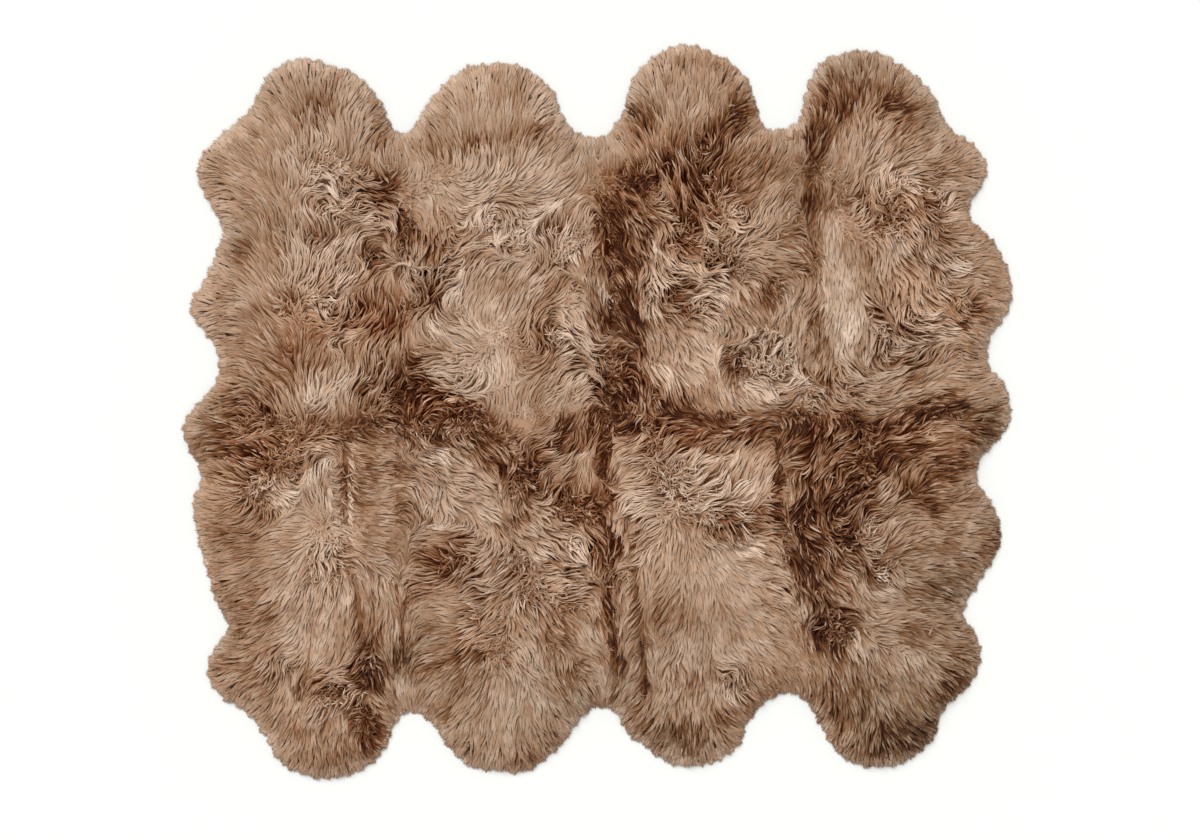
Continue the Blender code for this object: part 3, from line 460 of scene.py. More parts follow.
# Further tones that stay where they are put, not moved by the wandering of those above.
touches = [
    (643, 184, 20, 12, -0.46, 5), (674, 182, 12, 9, -0.32), (702, 208, 13, 13, -0.42, 30),
    (714, 222, 10, 7, -0.18), (733, 127, 8, 9, -0.26), (840, 127, 24, 10, -0.3, -36),
    (888, 112, 11, 11, -0.26), (872, 95, 10, 9, -0.18), (762, 150, 8, 18, -0.22), (750, 188, 11, 8, -0.18),
    (586, 178, 10, 9, -0.14), (577, 228, 8, 10, -0.2), (593, 258, 9, 9, -0.2), (640, 222, 8, 7, -0.16),
    (815, 236, 9, 13, -0.3), (842, 245, 8, 12, -0.2), (910, 248, 8, 10, -0.38), (412, 230, 8, 13, -0.3),
    (426, 268, 7, 10, -0.14), (373, 332, 15, 15, -0.32), (424, 312, 9, 7, -0.26), (423, 370, 6, 12, -0.22),
    (540, 302, 16, 8, -0.16, 30), (475, 345, 9, 14, -0.12), (552, 365, 9, 9, -0.16),
    (618, 336, 6, 13, -0.16), (625, 375, 12, 10, -0.26), (608, 390, 8, 8, -0.2), (760, 305, 8, 15, -0.26),
    (742, 360, 7, 9, -0.24), (822, 375, 15, 8, -0.26), (870, 343, 10, 8, -0.12),
    (910, 370, 14, 10, -0.28, 15), (740, 438, 20, 6, -0.24), (768, 462, 8, 9, -0.24),
    (668, 430, 12, 8, -0.18), (632, 456, 18, 10, -0.22, 10), (805, 452, 14, 9, -0.22),
    (905, 428, 10, 22, -0.2), (875, 475, 14, 13, -0.22), (862, 508, 9, 10, -0.24), (435, 418, 30, 9, -0.24),
    (402, 431, 11, 6, -0.22), (260, 498, 12, 13, -0.3), (415, 497, 12, 8, -0.24, 10),
    (470, 542, 13, 9, -0.34), (535, 495, 7, 8, -0.24), (566, 508, 10, 10, -0.2), (620, 565, 9, 9, -0.42),
    (559, 572, 6, 20, -0.24, 15), (728, 525, 16, 6, -0.32), (775, 520, 11, 7, -0.18),
    (373, 586, 7, 8, -0.32), (380, 627, 7, 10, -0.28), (268, 675, 12, 11, -0.3), (330, 677, 20, 8, -0.2),
    (360, 690, 9, 18, -0.2), (300, 725, 13, 15, -0.2), (475, 645, 18, 9, -0.26), (558, 668, 14, 8, -0.2),
    (570, 735, 15, 8, -0.18), (830, 680, 8, 15, -0.24), (682, 720, 28, 13, -0.24), (742, 735, 7, 16, -0.14),
    (922, 735, 16, 10, -0.2, 20), (880, 725, 16, 7, -0.16), (815, 580, 7, 11, -0.24),
    (598, 605, 5, 14, -0.12), (505, 585, 8, 8, -0.1), (372, 195, 9, 7, -0.14), (315, 130, 8, 24, -0.1, 10),
    (340, 395, 9, 8, -0.1), (660, 276, 11, 11, 0.32), (685, 272, 14, 9, 0.32), (711, 295, 12, 11, 0.26),
    (810, 276, 9, 14, 0.18), (803, 320, 7, 28, 0.2), (795, 358, 9, 9, 0.32), (775, 373, 12, 6, 0.18),
    (720, 365, 7, 20, 0.28), (736, 400, 12, 8, 0.2), (765, 413, 20, 6, 0.18), (820, 410, 26, 8, 0.16),
    (765, 338, 7, 7, 0.22), (490, 412, 12, 8, 0.26), (525, 427, 16, 8, 0.44), (556, 412, 14, 6, 0.18),
    (638, 408, 11, 9, 0.32), (638, 435, 8, 5, 0.16), (955, 282, 12, 17, 0.28, 20), (305, 95, 14, 12, 0.12),
    (303, 193, 11, 8, 0.24), (352, 135, 12, 12, 0.14), (390, 205, 14, 9, 0.24, 30),
    (375, 170, 14, 10, 0.14), (330, 310, 12, 8, 0.24), (232, 240, 10, 10, 0.14), (440, 185, 12, 12, 0.16),
    (490, 232, 18, 10, 0.18), (560, 130, 14, 10, 0.14), (580, 335, 8, 14, 0.16), (270, 395, 10, 7, 0.12),
    (295, 413, 14, 8, 0.2), (225, 415, 14, 10, 0.16), (378, 420, 13, 8, 0.22), (345, 432, 7, 10, 0.18),
    (437, 458, 16, 10, 0.28), (470, 485, 16, 8, 0.2, 30), (330, 470, 13, 12, 0.26),
    (338, 515, 10, 16, 0.22), (367, 487, 8, 8, 0.2), (350, 575, 6, 28, 0.28), (445, 520, 10, 8, 0.22),
    (530, 550, 9, 9, 0.22, 30), (547, 577, 8, 12, 0.26, 30), (575, 545, 8, 12, 0.22, 25),
    (605, 510, 7, 10, 0.16), (690, 473, 12, 8, 0.18), (740, 500, 15, 6, 0.28), (730, 546, 12, 6, 0.22),
    (785, 482, 10, 12, 0.18), (398, 677, 10, 11, 0.28), (382, 740, 8, 10, 0.2), (303, 695, 8, 8, 0.16),
    (602, 672, 28, 16, 0.18), (880, 642, 15, 14, 0.14), (905, 648, 12, 6, 0.14), (975, 405, 12, 8, 0.24),
    (840, 72, 24, 12, 0.14, -10), (798, 600, 8, 8, 0.2), (795, 566, 7, 7, 0.16), (715, 735, 8, 10, 0.18),
    (745, 590, 24, 12, 0.1), (955, 530, 12, 20, 0.1), (220, 180, 14, 20, 0.08), (215, 320, 12, 30, 0.1),
    (215, 630, 16, 26, 0.12), (272, 345, 8, 9, 0.12), (975, 160, 10, 9, 0.1), (477, 152, 12, 8, -0.22),
    (360, 190, 10, 9, -0.2), (275, 250, 12, 12, -0.2), (635, 250, 14, 9, -0.32), (762, 285, 7, 16, -0.26),
    (586, 303, 8, 12, -0.2), (345, 362, 14, 7, -0.24, 30), (298, 380, 16, 12, -0.22, 20),
    (435, 422, 9, 12, -0.22), (565, 440, 20, 8, -0.22, -20), (620, 488, 8, 14, -0.26),
    (621, 562, 7, 8, -0.36), (656, 402, 9, 5, -0.28), (516, 578, 9, 9, -0.32), (393, 462, 8, 16, -0.2),
    (360, 540, 8, 8, -0.26), (270, 605, 14, 16, -0.18), (755, 515, 14, 6, -0.3, 20),
    (735, 480, 24, 8, -0.16), (902, 380, 8, 10, -0.26), (935, 262, 8, 8, -0.24), (862, 206, 12, 8, -0.4),
    (858, 246, 9, 11, -0.3), (770, 205, 10, 10, -0.2), (715, 75, 14, 12, -0.18), (905, 715, 10, 10, -0.24),
    (850, 607, 9, 6, -0.22), (250, 442, 10, 6, -0.22, -20), (305, 105, 14, 10, 0.22, 25),
    (385, 166, 9, 13, 0.22), (535, 125, 10, 9, 0.22), (375, 298, 14, 7, 0.36), (325, 308, 8, 9, 0.2),
    (386, 375, 9, 12, 0.32), (238, 365, 14, 8, 0.2), (258, 402, 10, 8, 0.18), (600, 235, 9, 9, 0.28),
    (605, 278, 7, 8, 0.24), (663, 208, 12, 12, 0.28), (655, 375, 8, 10, 0.2), (760, 345, 7, 8, 0.32),
    (755, 231, 13, 8, 0.2), (795, 400, 8, 14, 0.22), (738, 412, 12, 7, 0.2), (505, 426, 12, 8, 0.28),
    (637, 436, 10, 6, 0.36), (690, 470, 14, 8, 0.26, 15), (690, 510, 14, 8, 0.28), (733, 541, 22, 6, 0.44),
    (865, 425, 10, 8, 0.24), (520, 240, 12, 10, 0.2, -30), (545, 515, 9, 12, 0.3), (528, 552, 7, 9, 0.24),
    (552, 576, 9, 9, 0.22), (820, 532, 8, 10, 0.26), (805, 132, 7, 10, 0.32), (890, 185, 13, 7, 0.28),
    (695, 173, 7, 9, 0.28), (932, 292, 11, 7, 0.36), (975, 404, 12, 6, 0.24), (712, 728, 14, 8, 0.36, 25),
    (366, 722, 9, 12, 0.22), (820, 80, 10, 9, 0.2), (885, 572, 8, 8, 0.2), (548, 220, 11, 10, 0.36),
    (690, 172, 9, 12, 0.36), (722, 514, 8, 9, 0.32), (850, 621, 10, 8, 0.24), (428, 289, 16, 8, 0.28, 30),
    (443, 478, 13, 7, 0.26), (484, 507, 12, 8, 0.2), (722, 370, 10, 16, 0.26), (925, 335, 14, 9, 0.24, -20),
    (948, 290, 12, 7, 0.18), (852, 522, 8, 14, 0.2), (880, 552, 14, 8, 0.16), (862, 212, 16, 8, -0.26),
    (846, 236, 12, 12, -0.16), (905, 245, 8, 8, -0.18), (442, 158, 22, 9, -0.24), (345, 202, 12, 8, -0.2),
    (318, 132, 12, 10, -0.22), (885, 117, 9, 8, -0.24), (826, 187, 8, 10, -0.2), (725, 305, 9, 12, -0.22),
    (425, 317, 9, 8, -0.18), (352, 332, 8, 10, -0.22), (552, 367, 12, 8, -0.2), (670, 387, 10, 9, -0.28),
    (258, 485, 12, 7, -0.22), (550, 452, 9, 9, -0.26), (400, 568, 10, 9, -0.22), (562, 583, 8, 10, -0.3),
    (468, 632, 14, 8, -0.2), (787, 583, 7, 8, -0.22), (752, 712, 12, 20, -0.16), (357, 490, 4, 48, -0.24),
    (391, 490, 7, 46, -0.22), (625, 405, 9, 12, 0.18), (275, 350, 12, 12, 0.18),
    # the pale wedge of the last pelt of the back row: straight on its left, drawing to a point
    (822, 280, 8, 40, 0.26, 5), (832, 270, 10, 50, 0.12, 4), (848, 306, 10, 30, 0.08, 4),
    (841, 346, 8, 20, 0.26, 5),
]

# Thin lines along seams and folds, dark ones painted shade, pale ones painted light on fold ridges: from
# (across, down) to (across, down), half width, and how much.
lines = [
    (346.5, 437, 347, 540, 2.2, -0.5), (347, 540, 357, 590, 2.4, -0.3), (357, 590, 367, 648, 2.6, -0.26),
    (351.5, 445, 351, 542, 1.8, 0.32), (394, 560, 401, 610, 1.9, -0.22), (401, 610, 406, 658, 2.0, -0.3),
    (603, 440, 604, 505, 2.2, -0.12), (604, 505, 609, 590, 2.6, -0.14), (609, 590, 616, 668, 2.4, -0.16),
    (616, 668, 614, 700, 2.0, -0.14), (808, 206, 814, 300, 2.8, -0.16), (814, 300, 834, 372, 2.8, -0.16),
    (872, 300, 850, 368, 2.4, -0.14), (403, 142, 404, 176, 2.0, -0.2), (404, 176, 405, 250, 2.4, -0.1),
    (633, 545, 640, 620, 2.4, -0.42), (640, 620, 646, 692, 2.4, -0.42), (470, 410, 520, 430, 2.6, -0.24),
    (520, 430, 600, 410, 2.8, -0.2), (612, 408, 700, 415, 2.6, -0.24), (700, 415, 800, 412, 2.6, -0.24),
    (800, 412, 885, 428, 2.8, -0.24), (885, 428, 960, 402, 2.6, -0.24), (960, 402, 1000, 408, 2.4, -0.18),
    (205, 428, 300, 424, 2.6, -0.14), (300, 424, 400, 420, 2.6, -0.18), (777, 440, 777, 520, 2.4, -0.26),
    (777, 520, 795, 560, 2.6, -0.22), (806, 140, 811, 200, 2.6, -0.2), (811, 200, 806, 260, 2.4, -0.14),
    (615, 215, 622, 270, 3.0, -0.22), (622, 270, 634, 345, 3.2, -0.26), (836, 466, 866, 440, 1.6, 0.16),
    (628, 556, 634, 620, 2.4, 0.14),
]

# Redder and greyer wool: across, down, half width, half height, how much redder.
sunned = [
    (310, 330, 26, 30, 0.8), (262, 440, 36, 22, 0.5), (540, 335, 26, 24, 0.7), (850, 220, 26, 18, 0.2),
    (905, 275, 26, 22, 0.5), (888, 305, 22, 18, 0.7), (940, 310, 34, 26, 0.8), (665, 440, 30, 12, 0.7),
    (450, 560, 26, 18, 0.5), (740, 220, 30, 24, 0.5), (690, 190, 34, 24, 0.6), (340, 685, 34, 18, 0.6),
    (560, 590, 32, 24, 0.4), (720, 520, 28, 16, 0.1), (850, 460, 44, 18, 0.5), (720, 350, 30, 24, 0.4),
    (450, 400, 50, 16, 0.4), (915, 610, 70, 90, -0.45), (900, 200, 36, 14, 0.8), (600, 600, 10, 60, 0.4),
    # greyer at the lower right rim, giving the painted shade there a grey tint
    (905, 735, 42, 30, -1.3), (850, 692, 50, 38, -0.6), (940, 680, 40, 50, -0.5), (945, 582, 40, 24, -0.8),
    (985, 425, 26, 30, -1.0), (985, 520, 36, 50, -0.5), (675, 730, 50, 22, -0.8), (620, 680, 46, 36, -0.6),
    (530, 705, 80, 50, -0.5), (405, 655, 32, 26, -0.7), (240, 245, 26, 24, -0.6), (410, 140, 40, 34, -0.4),
    (590, 150, 50, 34, -0.5), (645, 112, 24, 20, -0.6), (845, 75, 46, 26, -0.7), (930, 115, 24, 30, -0.5),
    (800, 190, 34, 60, -0.4), (850, 320, 40, 34, -0.4), (300, 90, 90, 36, -0.3), (415, 530, 26, 40, -0.4),
    (432, 406, 34, 15, 1.6), (355, 200, 42, 20, 0.8), (370, 320, 32, 46, 0.8), (285, 442, 46, 24, 0.8),
    (255, 490, 40, 26, 0.7), (500, 455, 60, 24, 0.5), (440, 240, 44, 34, 0.4), (615, 195, 32, 18, 0.8),
    (670, 158, 44, 20, 0.8), (685, 250, 40, 60, 0.7), (625, 375, 34, 22, 0.8), (680, 420, 56, 40, 0.5),
    (825, 420, 22, 24, 0.8), (905, 442, 40, 16, 0.5), (885, 215, 36, 22, 0.6), (575, 505, 20, 24, 0.8),
    (595, 550, 60, 34, 0.4), (700, 480, 130, 44, 0.4), (490, 630, 24, 22, 0.5), (330, 550, 26, 26, 0.4),
    (622, 275, 10, 26, 0.6), (310, 290, 50, 34, 0.4), (695, 172, 16, 16, -1.0), (690, 625, 70, 46, -0.4),
    (432, 630, 24, 22, -0.6), (380, 345, 26, 17, 0.6), (815, 522, 15, 24, 0.6), (232, 632, 20, 34, -0.5),
    (208, 440, 20, 40, -0.6), (590, 238, 44, 22, 0.4),
]

# How the tones above come together, and how warm and grey wool alternate.
tones = {
    "pelts": (0.605, 0.640, 0.565, 0.565, 0.585, 0.560, 0.595, 0.505),       # in the order of their names
    "handOver": 0.02,            # metres over which one pelt's tone becomes the next one's
    "ovals": 0.70,               # strength of the ovals above
    "curly": 0.08,               # how much lighter curly wool is
    "wanderAcross": ((0.012, 0.050, 24), (0.010, 0.020, 25)),    # metres, pitch, seed
    "wanderUp": ((0.012, 0.050, 26), (0.010, 0.020, 27)),
    "uneven": ((0.05, 0.09, 21), (0.09, 0.030, 22)),             # amount, pitch, seed
    "hollow": 8.0,               # painted shade: how much darker a hollow is, for each metre of its depth
    "lower": 0.035,              # how much darker all the wool is
    "darkest": 0.09,             # tones level off here in the dark
    "levelling": 0.08,           # and over this range
}
warmth = {
    "usual": 0.05,               # how much redder all the wool is
    "uneven": ((0.12, 0.07, 23),),
    "range": 3,                  # from the greyest wool to the reddest, in the amounts above
}

# How the comb lays the wool, and how it curls.
lie = {
    "nearness": 11.0,            # steps over which one stroke hands over to the next
    "edgeReach": 0.050,          # metres in from the free edge where the wool turns outwards
    "edgePull": 1.6,
    "whorlPull": 1.5,
    "uneven": (0.20, 0.10),      # radians of wandering, over the wide and the narrow pitch below
    "pitch": (0.052, 0.023),
    "curlUneven": (1.05, 0.62),
    "innerCurl": 0.34,           # how curly the middle of the rug is outside the curly places
    "crimp": 0.78,               # radians of waviness along the lock
    "crimpLength": 0.042,
    "crimpShare": (0.35, 0.65),  # of the crimp: in smooth wool, and what curl adds to it
    "crimpUneven": ((0.8, 0.05, 13),),                   # amount, pitch, seed
    "steady": 0.04,              # evens out the comb's pull where strokes meet
    "creasePull": 1.4,           # how strongly creases and whorls turn the comb
    "creaseWander": ((0.008, 0.05, 71),),
    "hollow": (0.35, 0.4),       # how tight the hollows of whorls and of creases are
    "edgeSlope": (0.014, 0.010),                         # smoothing of the way inwards: for the comb, the rim
    "edgeEase": 0.2,             # weakens that pull where the way out is unclear
    "inner": (0.10, 0.16, 0.6),  # metres from the free edge where that starts, its growth, its usual share
    "innerUneven": ((0.8, 0.11, 14),),
    "curlClear": (0.02, 0.05),   # metres from the free edge without curl, and over which it comes in
    "calm": (0.7, 0.05),         # how much calmer the wool is at the free edge, and over what distance
    "hollowClear": 0.05,         # metres from the free edge over which hollows come in
}


def sumOfPatches(rows, x, y):
    # Sum of soft ovals: amount times exp(-(u2 + v2)), with u and v along each oval's own axes.
    total = np.zeros(x.shape)
    for across, down, halfWide, halfHigh, amount, *turn in rows:
        cx, cy = onFloor(across, down)
        angle = np.radians(turn[0] if turn else 0)
        u = ((x - cx) * np.cos(angle) + (y - cy) * np.sin(angle)) / (halfWide * plan["step"])
        v = ((y - cy) * np.cos(angle) - (x - cx) * np.sin(angle)) / (halfHigh * plan["step"])
        total += amount * np.exp(-(u * u + v * v))
    return total


def drawnLines(rows, x, y):
    # Soft lines: amount times exp(-d2), d being the distance over the half width; the strongest line wins.
    total = np.zeros(x.shape)
    for fromX, fromY, toX, toY, half, amount in rows:
        (ax, ay), (bx, by) = onFloor(fromX, fromY), onFloor(toX, toY)
        share = ((x - ax) * (bx - ax) + (y - ay) * (by - ay)) / ((bx - ax) ** 2 + (by - ay) ** 2)
        share = np.clip(share, 0, 1)
        gap = np.hypot(x - ax - share * (bx - ax), y - ay - share * (by - ay)) / (half * plan["step"])
        line = amount * np.exp(-gap * gap)
        total = np.where(np.abs(line) > np.abs(total), line, total)
    return total


def combedField():
    # Direction of the wool: strokes weighted by nearness to the fourth power, then pushes, then wandering.
    strokeX, strokeY = onFloor(combing[:, 0], combing[:, 1])
    flowX, flowY, weight = np.zeros(mapX.shape), np.zeros(mapX.shape), np.zeros(mapX.shape)
    for x, y, turn in zip(strokeX, strokeY, np.radians(combing[:, 2])):
        square = ((mapX - x) ** 2 + (mapY - y) ** 2) / (lie["nearness"] * plan["step"]) ** 2
        share = 1 / (1 + square) ** 2
        flowX += share * np.cos(turn)
        flowY += share * np.sin(turn)
        weight += share
    flowX, flowY = flowX / weight, flowY / weight
    steady = 1 / np.sqrt(flowX ** 2 + flowY ** 2 + lie["steady"])
    flowX, flowY = flowX * steady, flowY * steady
    hollow = np.zeros(mapX.shape)
    for across, down, reach, spin, push, depth in whorls:
        cx, cy = onFloor(across, down)
        wide = reach * plan["step"]
        dx, dy = (mapX - cx) / wide, (mapY - cy) / wide
        fade = lie["whorlPull"] * np.exp(-(dx * dx + dy * dy))
        flowX += fade * (push * dx - spin * dy)
        flowY += fade * (push * dy + spin * dx)
        hollow += depth * np.exp(-(dx * dx + dy * dy) / lie["hollow"][0])
    wander = layeredNoise(lie["creaseWander"])
    for fromX, fromY, toX, toY, reach, push, depth in creases:
        (ax, ay), (bx, by) = onFloor(fromX, fromY), onFloor(toX, toY)
        wide = reach * plan["step"]
        span = (bx - ax) ** 2 + (by - ay) ** 2
        share = np.clip(((mapX - ax) * (bx - ax) + (mapY - ay) * (by - ay)) / span, 0, 1)
        dx = (mapX - ax - share * (bx - ax) + wander) / wide
        dy = (mapY - ay - share * (by - ay) + wander) / wide
        fade = np.exp(-(dx * dx + dy * dy))
        flowX += lie["creasePull"] * push * fade * dx
        flowY += lie["creasePull"] * push * fade * dy
        hollow += depth * np.exp(-(dx * dx + dy * dy) / lie["hollow"][1])
    slopeY, slopeX = np.gradient(softened(edgeGap, lie["edgeSlope"][0]), ground["step"])
    steepness = np.sqrt(slopeX ** 2 + slopeY ** 2) + lie["edgeEase"]
    pull = lie["edgePull"] * np.exp(-(np.maximum(edgeGap, 0) / lie["edgeReach"]) ** 2)
    flowX -= pull * slopeX / steepness
    flowY -= pull * slopeY / steepness
    curl = np.zeros(mapX.shape)
    for across, down, reach, amount in curls:
        cx, cy = onFloor(across, down)
        curl += amount * np.exp(-((mapX - cx) ** 2 + (mapY - cy) ** 2) / (reach * plan["step"]) ** 2)
    inner = np.clip((edgeGap - lie["inner"][0]) / lie["inner"][1], 0, 1)
    inner = inner * (lie["inner"][2] + layeredNoise(lie["innerUneven"]))
    curl = np.clip(curl + lie["innerCurl"] * inner, 0, 1)
    curl = curl * np.clip((edgeGap - lie["curlClear"][0]) / lie["curlClear"][1], 0, 1)
    calm = 1 - lie["calm"][0] * np.exp(-(np.maximum(edgeGap, 0) / lie["calm"][1]) ** 2)
    angle = np.arctan2(flowY, flowX)
    for uneven, curlUneven, pitch, seed in zip(lie["uneven"], lie["curlUneven"], lie["pitch"], (11, 12)):
        angle += (uneven * calm + curlUneven * curl) * softNoise(mapX, mapY, pitch, seed)
    phase = (mapX * np.cos(angle) + mapY * np.sin(angle)) / lie["crimpLength"]
    phase += layeredNoise(lie["crimpUneven"])
    smooth, added = lie["crimpShare"]
    angle += lie["crimp"] * (smooth + added * curl) * calm * np.sin(2 * np.pi * phase)
    return np.cos(angle), np.sin(angle), curl, hollow


flowX, flowY, curlMap, hollowMap = combedField()
hollowMap *= np.clip(edgeGap / lie["hollowClear"], 0, 1)
strayX, strayY = mapX + layeredNoise(tones["wanderAcross"]), mapY + layeredNoise(tones["wanderUp"])
ovals = sumOfPatches(patches, strayX, strayY) + sumOfPatches(touches, mapX, mapY)
toneMap = tones["ovals"] * ovals + tones["curly"] * curlMap
toneMap += softened(np.array(tones["pelts"])[owner], tones["handOver"])
toneMap += layeredNoise(tones["uneven"])
# painted shade in the hollows of whorls and creases, and all the wool a little darker
toneMap -= tones["hollow"] * hollowMap + tones["lower"]
levelled = np.logaddexp(0, (toneMap - tones["darkest"]) / tones["levelling"])
toneMap = tones["darkest"] + tones["levelling"] * levelled
lineMap = drawnLines(lines, mapX, mapY)
warmMap = sumOfPatches(sunned, mapX, mapY) + layeredNoise(warmth["uneven"]) + warmth["usual"]
warmMap = np.clip(0.5 + warmMap / warmth["range"], 0, 1)
pileMap = np.where(covered, pileTop, 0) - hollowMap
print("combing, tones and curls laid out")

# The locks, in metres: all of them, their tufts, those under the others, those in gaps and those at the rim.
wool = {
    "locks": 6900,               # locks standing over each pelt, besides those at its rim
    "seed": 100,
    "length": 0.049,
    "lengths": (0.75, 1.22),     # shortest and longest, as shares of that
    "curlLength": 0.30,          # how much longer curly locks are
    "width": 0.0056,
    "thickness": 0.0036,
    "sizes": (0.7, 1.3),         # narrowest and widest, as shares of those
    "fine": (0.20, 0.6),         # share of locks that are finer still, and how fine
    "usualSize": (1.22, 0.30),   # size away from the rim, and how much finer curly locks are
    "flat": 0.50,                # thickness of smooth locks, as a share of curly ones'
    "rolls": (0.4, 1.0),         # how far a lock is rolled about its length, smooth and curly
    "plain": ((0.0, 0.52), (0.85, 1.0)),             # rings of three corners: share of length, width
    "curly": ((0.0, 0.33, 0.68), (0.75, 1.0, 0.75)),
    "curlyFrom": 0.16,           # how curly a place is before its locks get a third ring
    "steps": 8,                  # along the path that a lock is laid on
    "sway": 0.09,                # radians by which a lock leaves its tuft
    "least": 0.12,               # shortest share of a lock that is left at the free edge
    "lift": 0.0008,              # unevenness of its height over its tuft's
    "clear": 0.006,              # metres from the free edge to the nearest root, other than the rim's
    "root": (0.86, 0.28),        # height of roots in the pile, and how much lower they are in curly wool
    "rise": 1.3,                 # how soon a lock comes up to the top of the pile
    "arch": 1.9,                 # how soon it has the whole of its tuft's lift
    "low": (0.0016, 0.0006),     # least height of a lock's middle line and of its corners
}
tufts = {
    "pitch": (0.021, 0.036),     # metres between tufts, in smooth and curly wool
    "peltArea": 0.45,            # square metres, for the number of tufts
    "broadFrom": (0.2, 0.03),    # how curly a place is before its tufts are broad, and how uneven that is
    "stray": (0.09, 0.30),       # radians by which a tuft leaves the comb, in smooth and curly wool
    "gather": (0.32, 0.60),      # how far the tips of a tuft draw together, in smooth and curly wool
    "gathers": (0.4, 1.2),       # least and most, as shares of that
    "gatherEase": 1.4,           # how late along the lock that comes
    "spread": 0.25,              # how far apart the drawn tips stay
    "lift": (0.0010, 0.0044),    # unevenness of their height, in smooth and curly wool
    "dome": 0.0045,              # how much higher the middle of a curly tuft lies than its sides
}
under = {                        # short locks lying any way under the others, darker with painted shade
    "share": 0.10,
    "length": 0.6,               # as a share of the others'
    "sway": 0.7,
    "gather": 0.1,
    "lower": 0.16,               # share of the pile's height
    "darker": 0.10,
}
filling = {                      # short locks where the combing has opened a gap, darker with painted shade
    "points": 2.5,               # of paths in each map square, below which locks are added there
    "clear": 0.02,               # metres from the free edge where none is added
    "length": (0.024, 0.038),
    "sway": 0.8,
    "behind": 0.45,              # share of its length that starts before the gap
    "bend": 0.004,
    "darker": 0.06,
}
rim = {
    "inset": (0.012, 0.021, 0.031, 0.042),           # metres from the free edge to each row of roots
    "insets": (0.7, 1.3),        # least and most, as shares of those
    "spacing": (0.0030, 0.0032, 0.0040, 0.0048),     # metres between locks in each row
    "past": (-0.004, 0.004),     # how far past the free edge a lock ends
    "ragged": ((0.0042, 0.024, 41), (0.0018, 0.010, 41)),        # height of the edge's bumps, pitch, seed
    "lift": (0.0026, 0.0045, 0.0070, 0.0095),        # height of each row over the floor
    "lifts": (0.5, 1.2),         # least and most, as shares of those
    "length": 0.056,
    "stray": 0.6,                # these three as shares of what other locks have
    "gather": 0.45,
    "depth": 0.5,
    "size": 0.80,                # in place of the usual size
    "slope": 0.36,               # how steeply its locks rise inwards
    "overPile": 0.006,           # how far they may pass the pile's top
}

# Tones within and between locks, from 0 for dark to 1 for pale.
shading = {
    "soft": 0.9,                 # how far a lock is shaded as facing up, rather than as round
    "leans": (1.6, 1.2),         # share of that in shallow wool, and how much less it is in deep wool
    "upright": 0.5,              # how far up means away from the floor, not only from the lock
    "root": (0.40, 2.5),         # painted shade and darker root wool: how much darker deep locks are at the root, how soon that fades
    "tip": (0.02, 0.16),         # paler tips and painted light on the pile's top: how much lighter locks are at the tip, what depth adds
    "depth": (0.10, 1.3, 0.9, 0.95),     # depth of all wool, what curl and dark add, and the most; it sets the painted shade at the roots
    "along": 0.4,                # share of its length at which a lock reads the maps of tones
    "tuftShare": 0.6,            # how far it takes its tone from its tuft's place
    "drift": 0.006,              # metres by which that place wanders
    "dark": (0.56, 0.32),        # tone below which wool counts as dark, and over what range
    "darkCurl": (0.65, 0.35, 2.5),       # share of that in smooth wool, what curl adds, and how soon
    "tuftUneven": (0.050, 0.9, 1.7),     # unevenness between tufts: amount, in smooth wool, what curl adds
    "uneven": (0.018, 0.050, 0.07),      # between locks: all, with curl, in the dark
    "domeLight": 0.09,                   # painted highlight: how much lighter the middle of a curly tuft is
    "pale": (0.32, 0.22, -0.10),         # in the dark: share of paler locks, their tone, the others' tone
    "fineLight": (0.62, 0.02),           # size below which a lock is lighter, and by how much
    "edgeLight": (0.11, 0.022),          # painted light through the thin rim: how much lighter the free edge is, and over what distance
    "warmUneven": 0.08,
}


stepShares = np.linspace(0, 1, wool["steps"] + 1)[None, :]               # of a path's length, at its steps


def combedPaths(x, y, reach, bias):
    # Path of each lock: equal steps, each one in the direction of the comb where the last one ended.
    pathX, pathY = [x], [y]
    step = reach / wool["steps"]
    for _ in range(wool["steps"]):
        cx, cy = readMap(flowX, pathX[-1], pathY[-1]), readMap(flowY, pathX[-1], pathY[-1])
        angle = np.arctan2(cy, cx) + bias
        pathX.append(pathX[-1] + np.cos(angle) * step)
        pathY.append(pathY[-1] + np.sin(angle) * step)
    return np.stack(pathX, axis=1), np.stack(pathY, axis=1)


def atShares(path, shares):
    # Points part-way along paths of equal steps: shares is one row for each path.
    place = np.clip(shares, 0, 1) * (path.shape[1] - 1)
    low = np.minimum(place.astype(int), path.shape[1] - 2)
    part = place - low
    row = np.arange(len(path))[:, None]
    return path[row, low] * (1 - part) + path[row, low + 1] * part


def scattered(name, count, chance):
    # Roots over a pelt: a staggered lattice of the right pitch, each point moved by chance.
    points = outlines[name].reshape(-1, 2)
    low, high = points.min(axis=0), points.max(axis=0)
    pitch = np.sqrt(peltMaps[name].sum() * ground["step"] ** 2 / count)
    x, y = np.meshgrid(np.arange(low[0], high[0], pitch), np.arange(low[1], high[1], pitch))
    x = x + pitch * 0.5 * (np.arange(x.shape[0]) % 2)[:, None]
    x = (x + chance.uniform(-0.5, 0.5, x.shape) * pitch).ravel()
    y = (y + chance.uniform(-0.5, 0.5, y.shape) * pitch).ravel()
    keep = peltMaps[name][gridPlace(x, y)]
    return x[keep], y[keep]


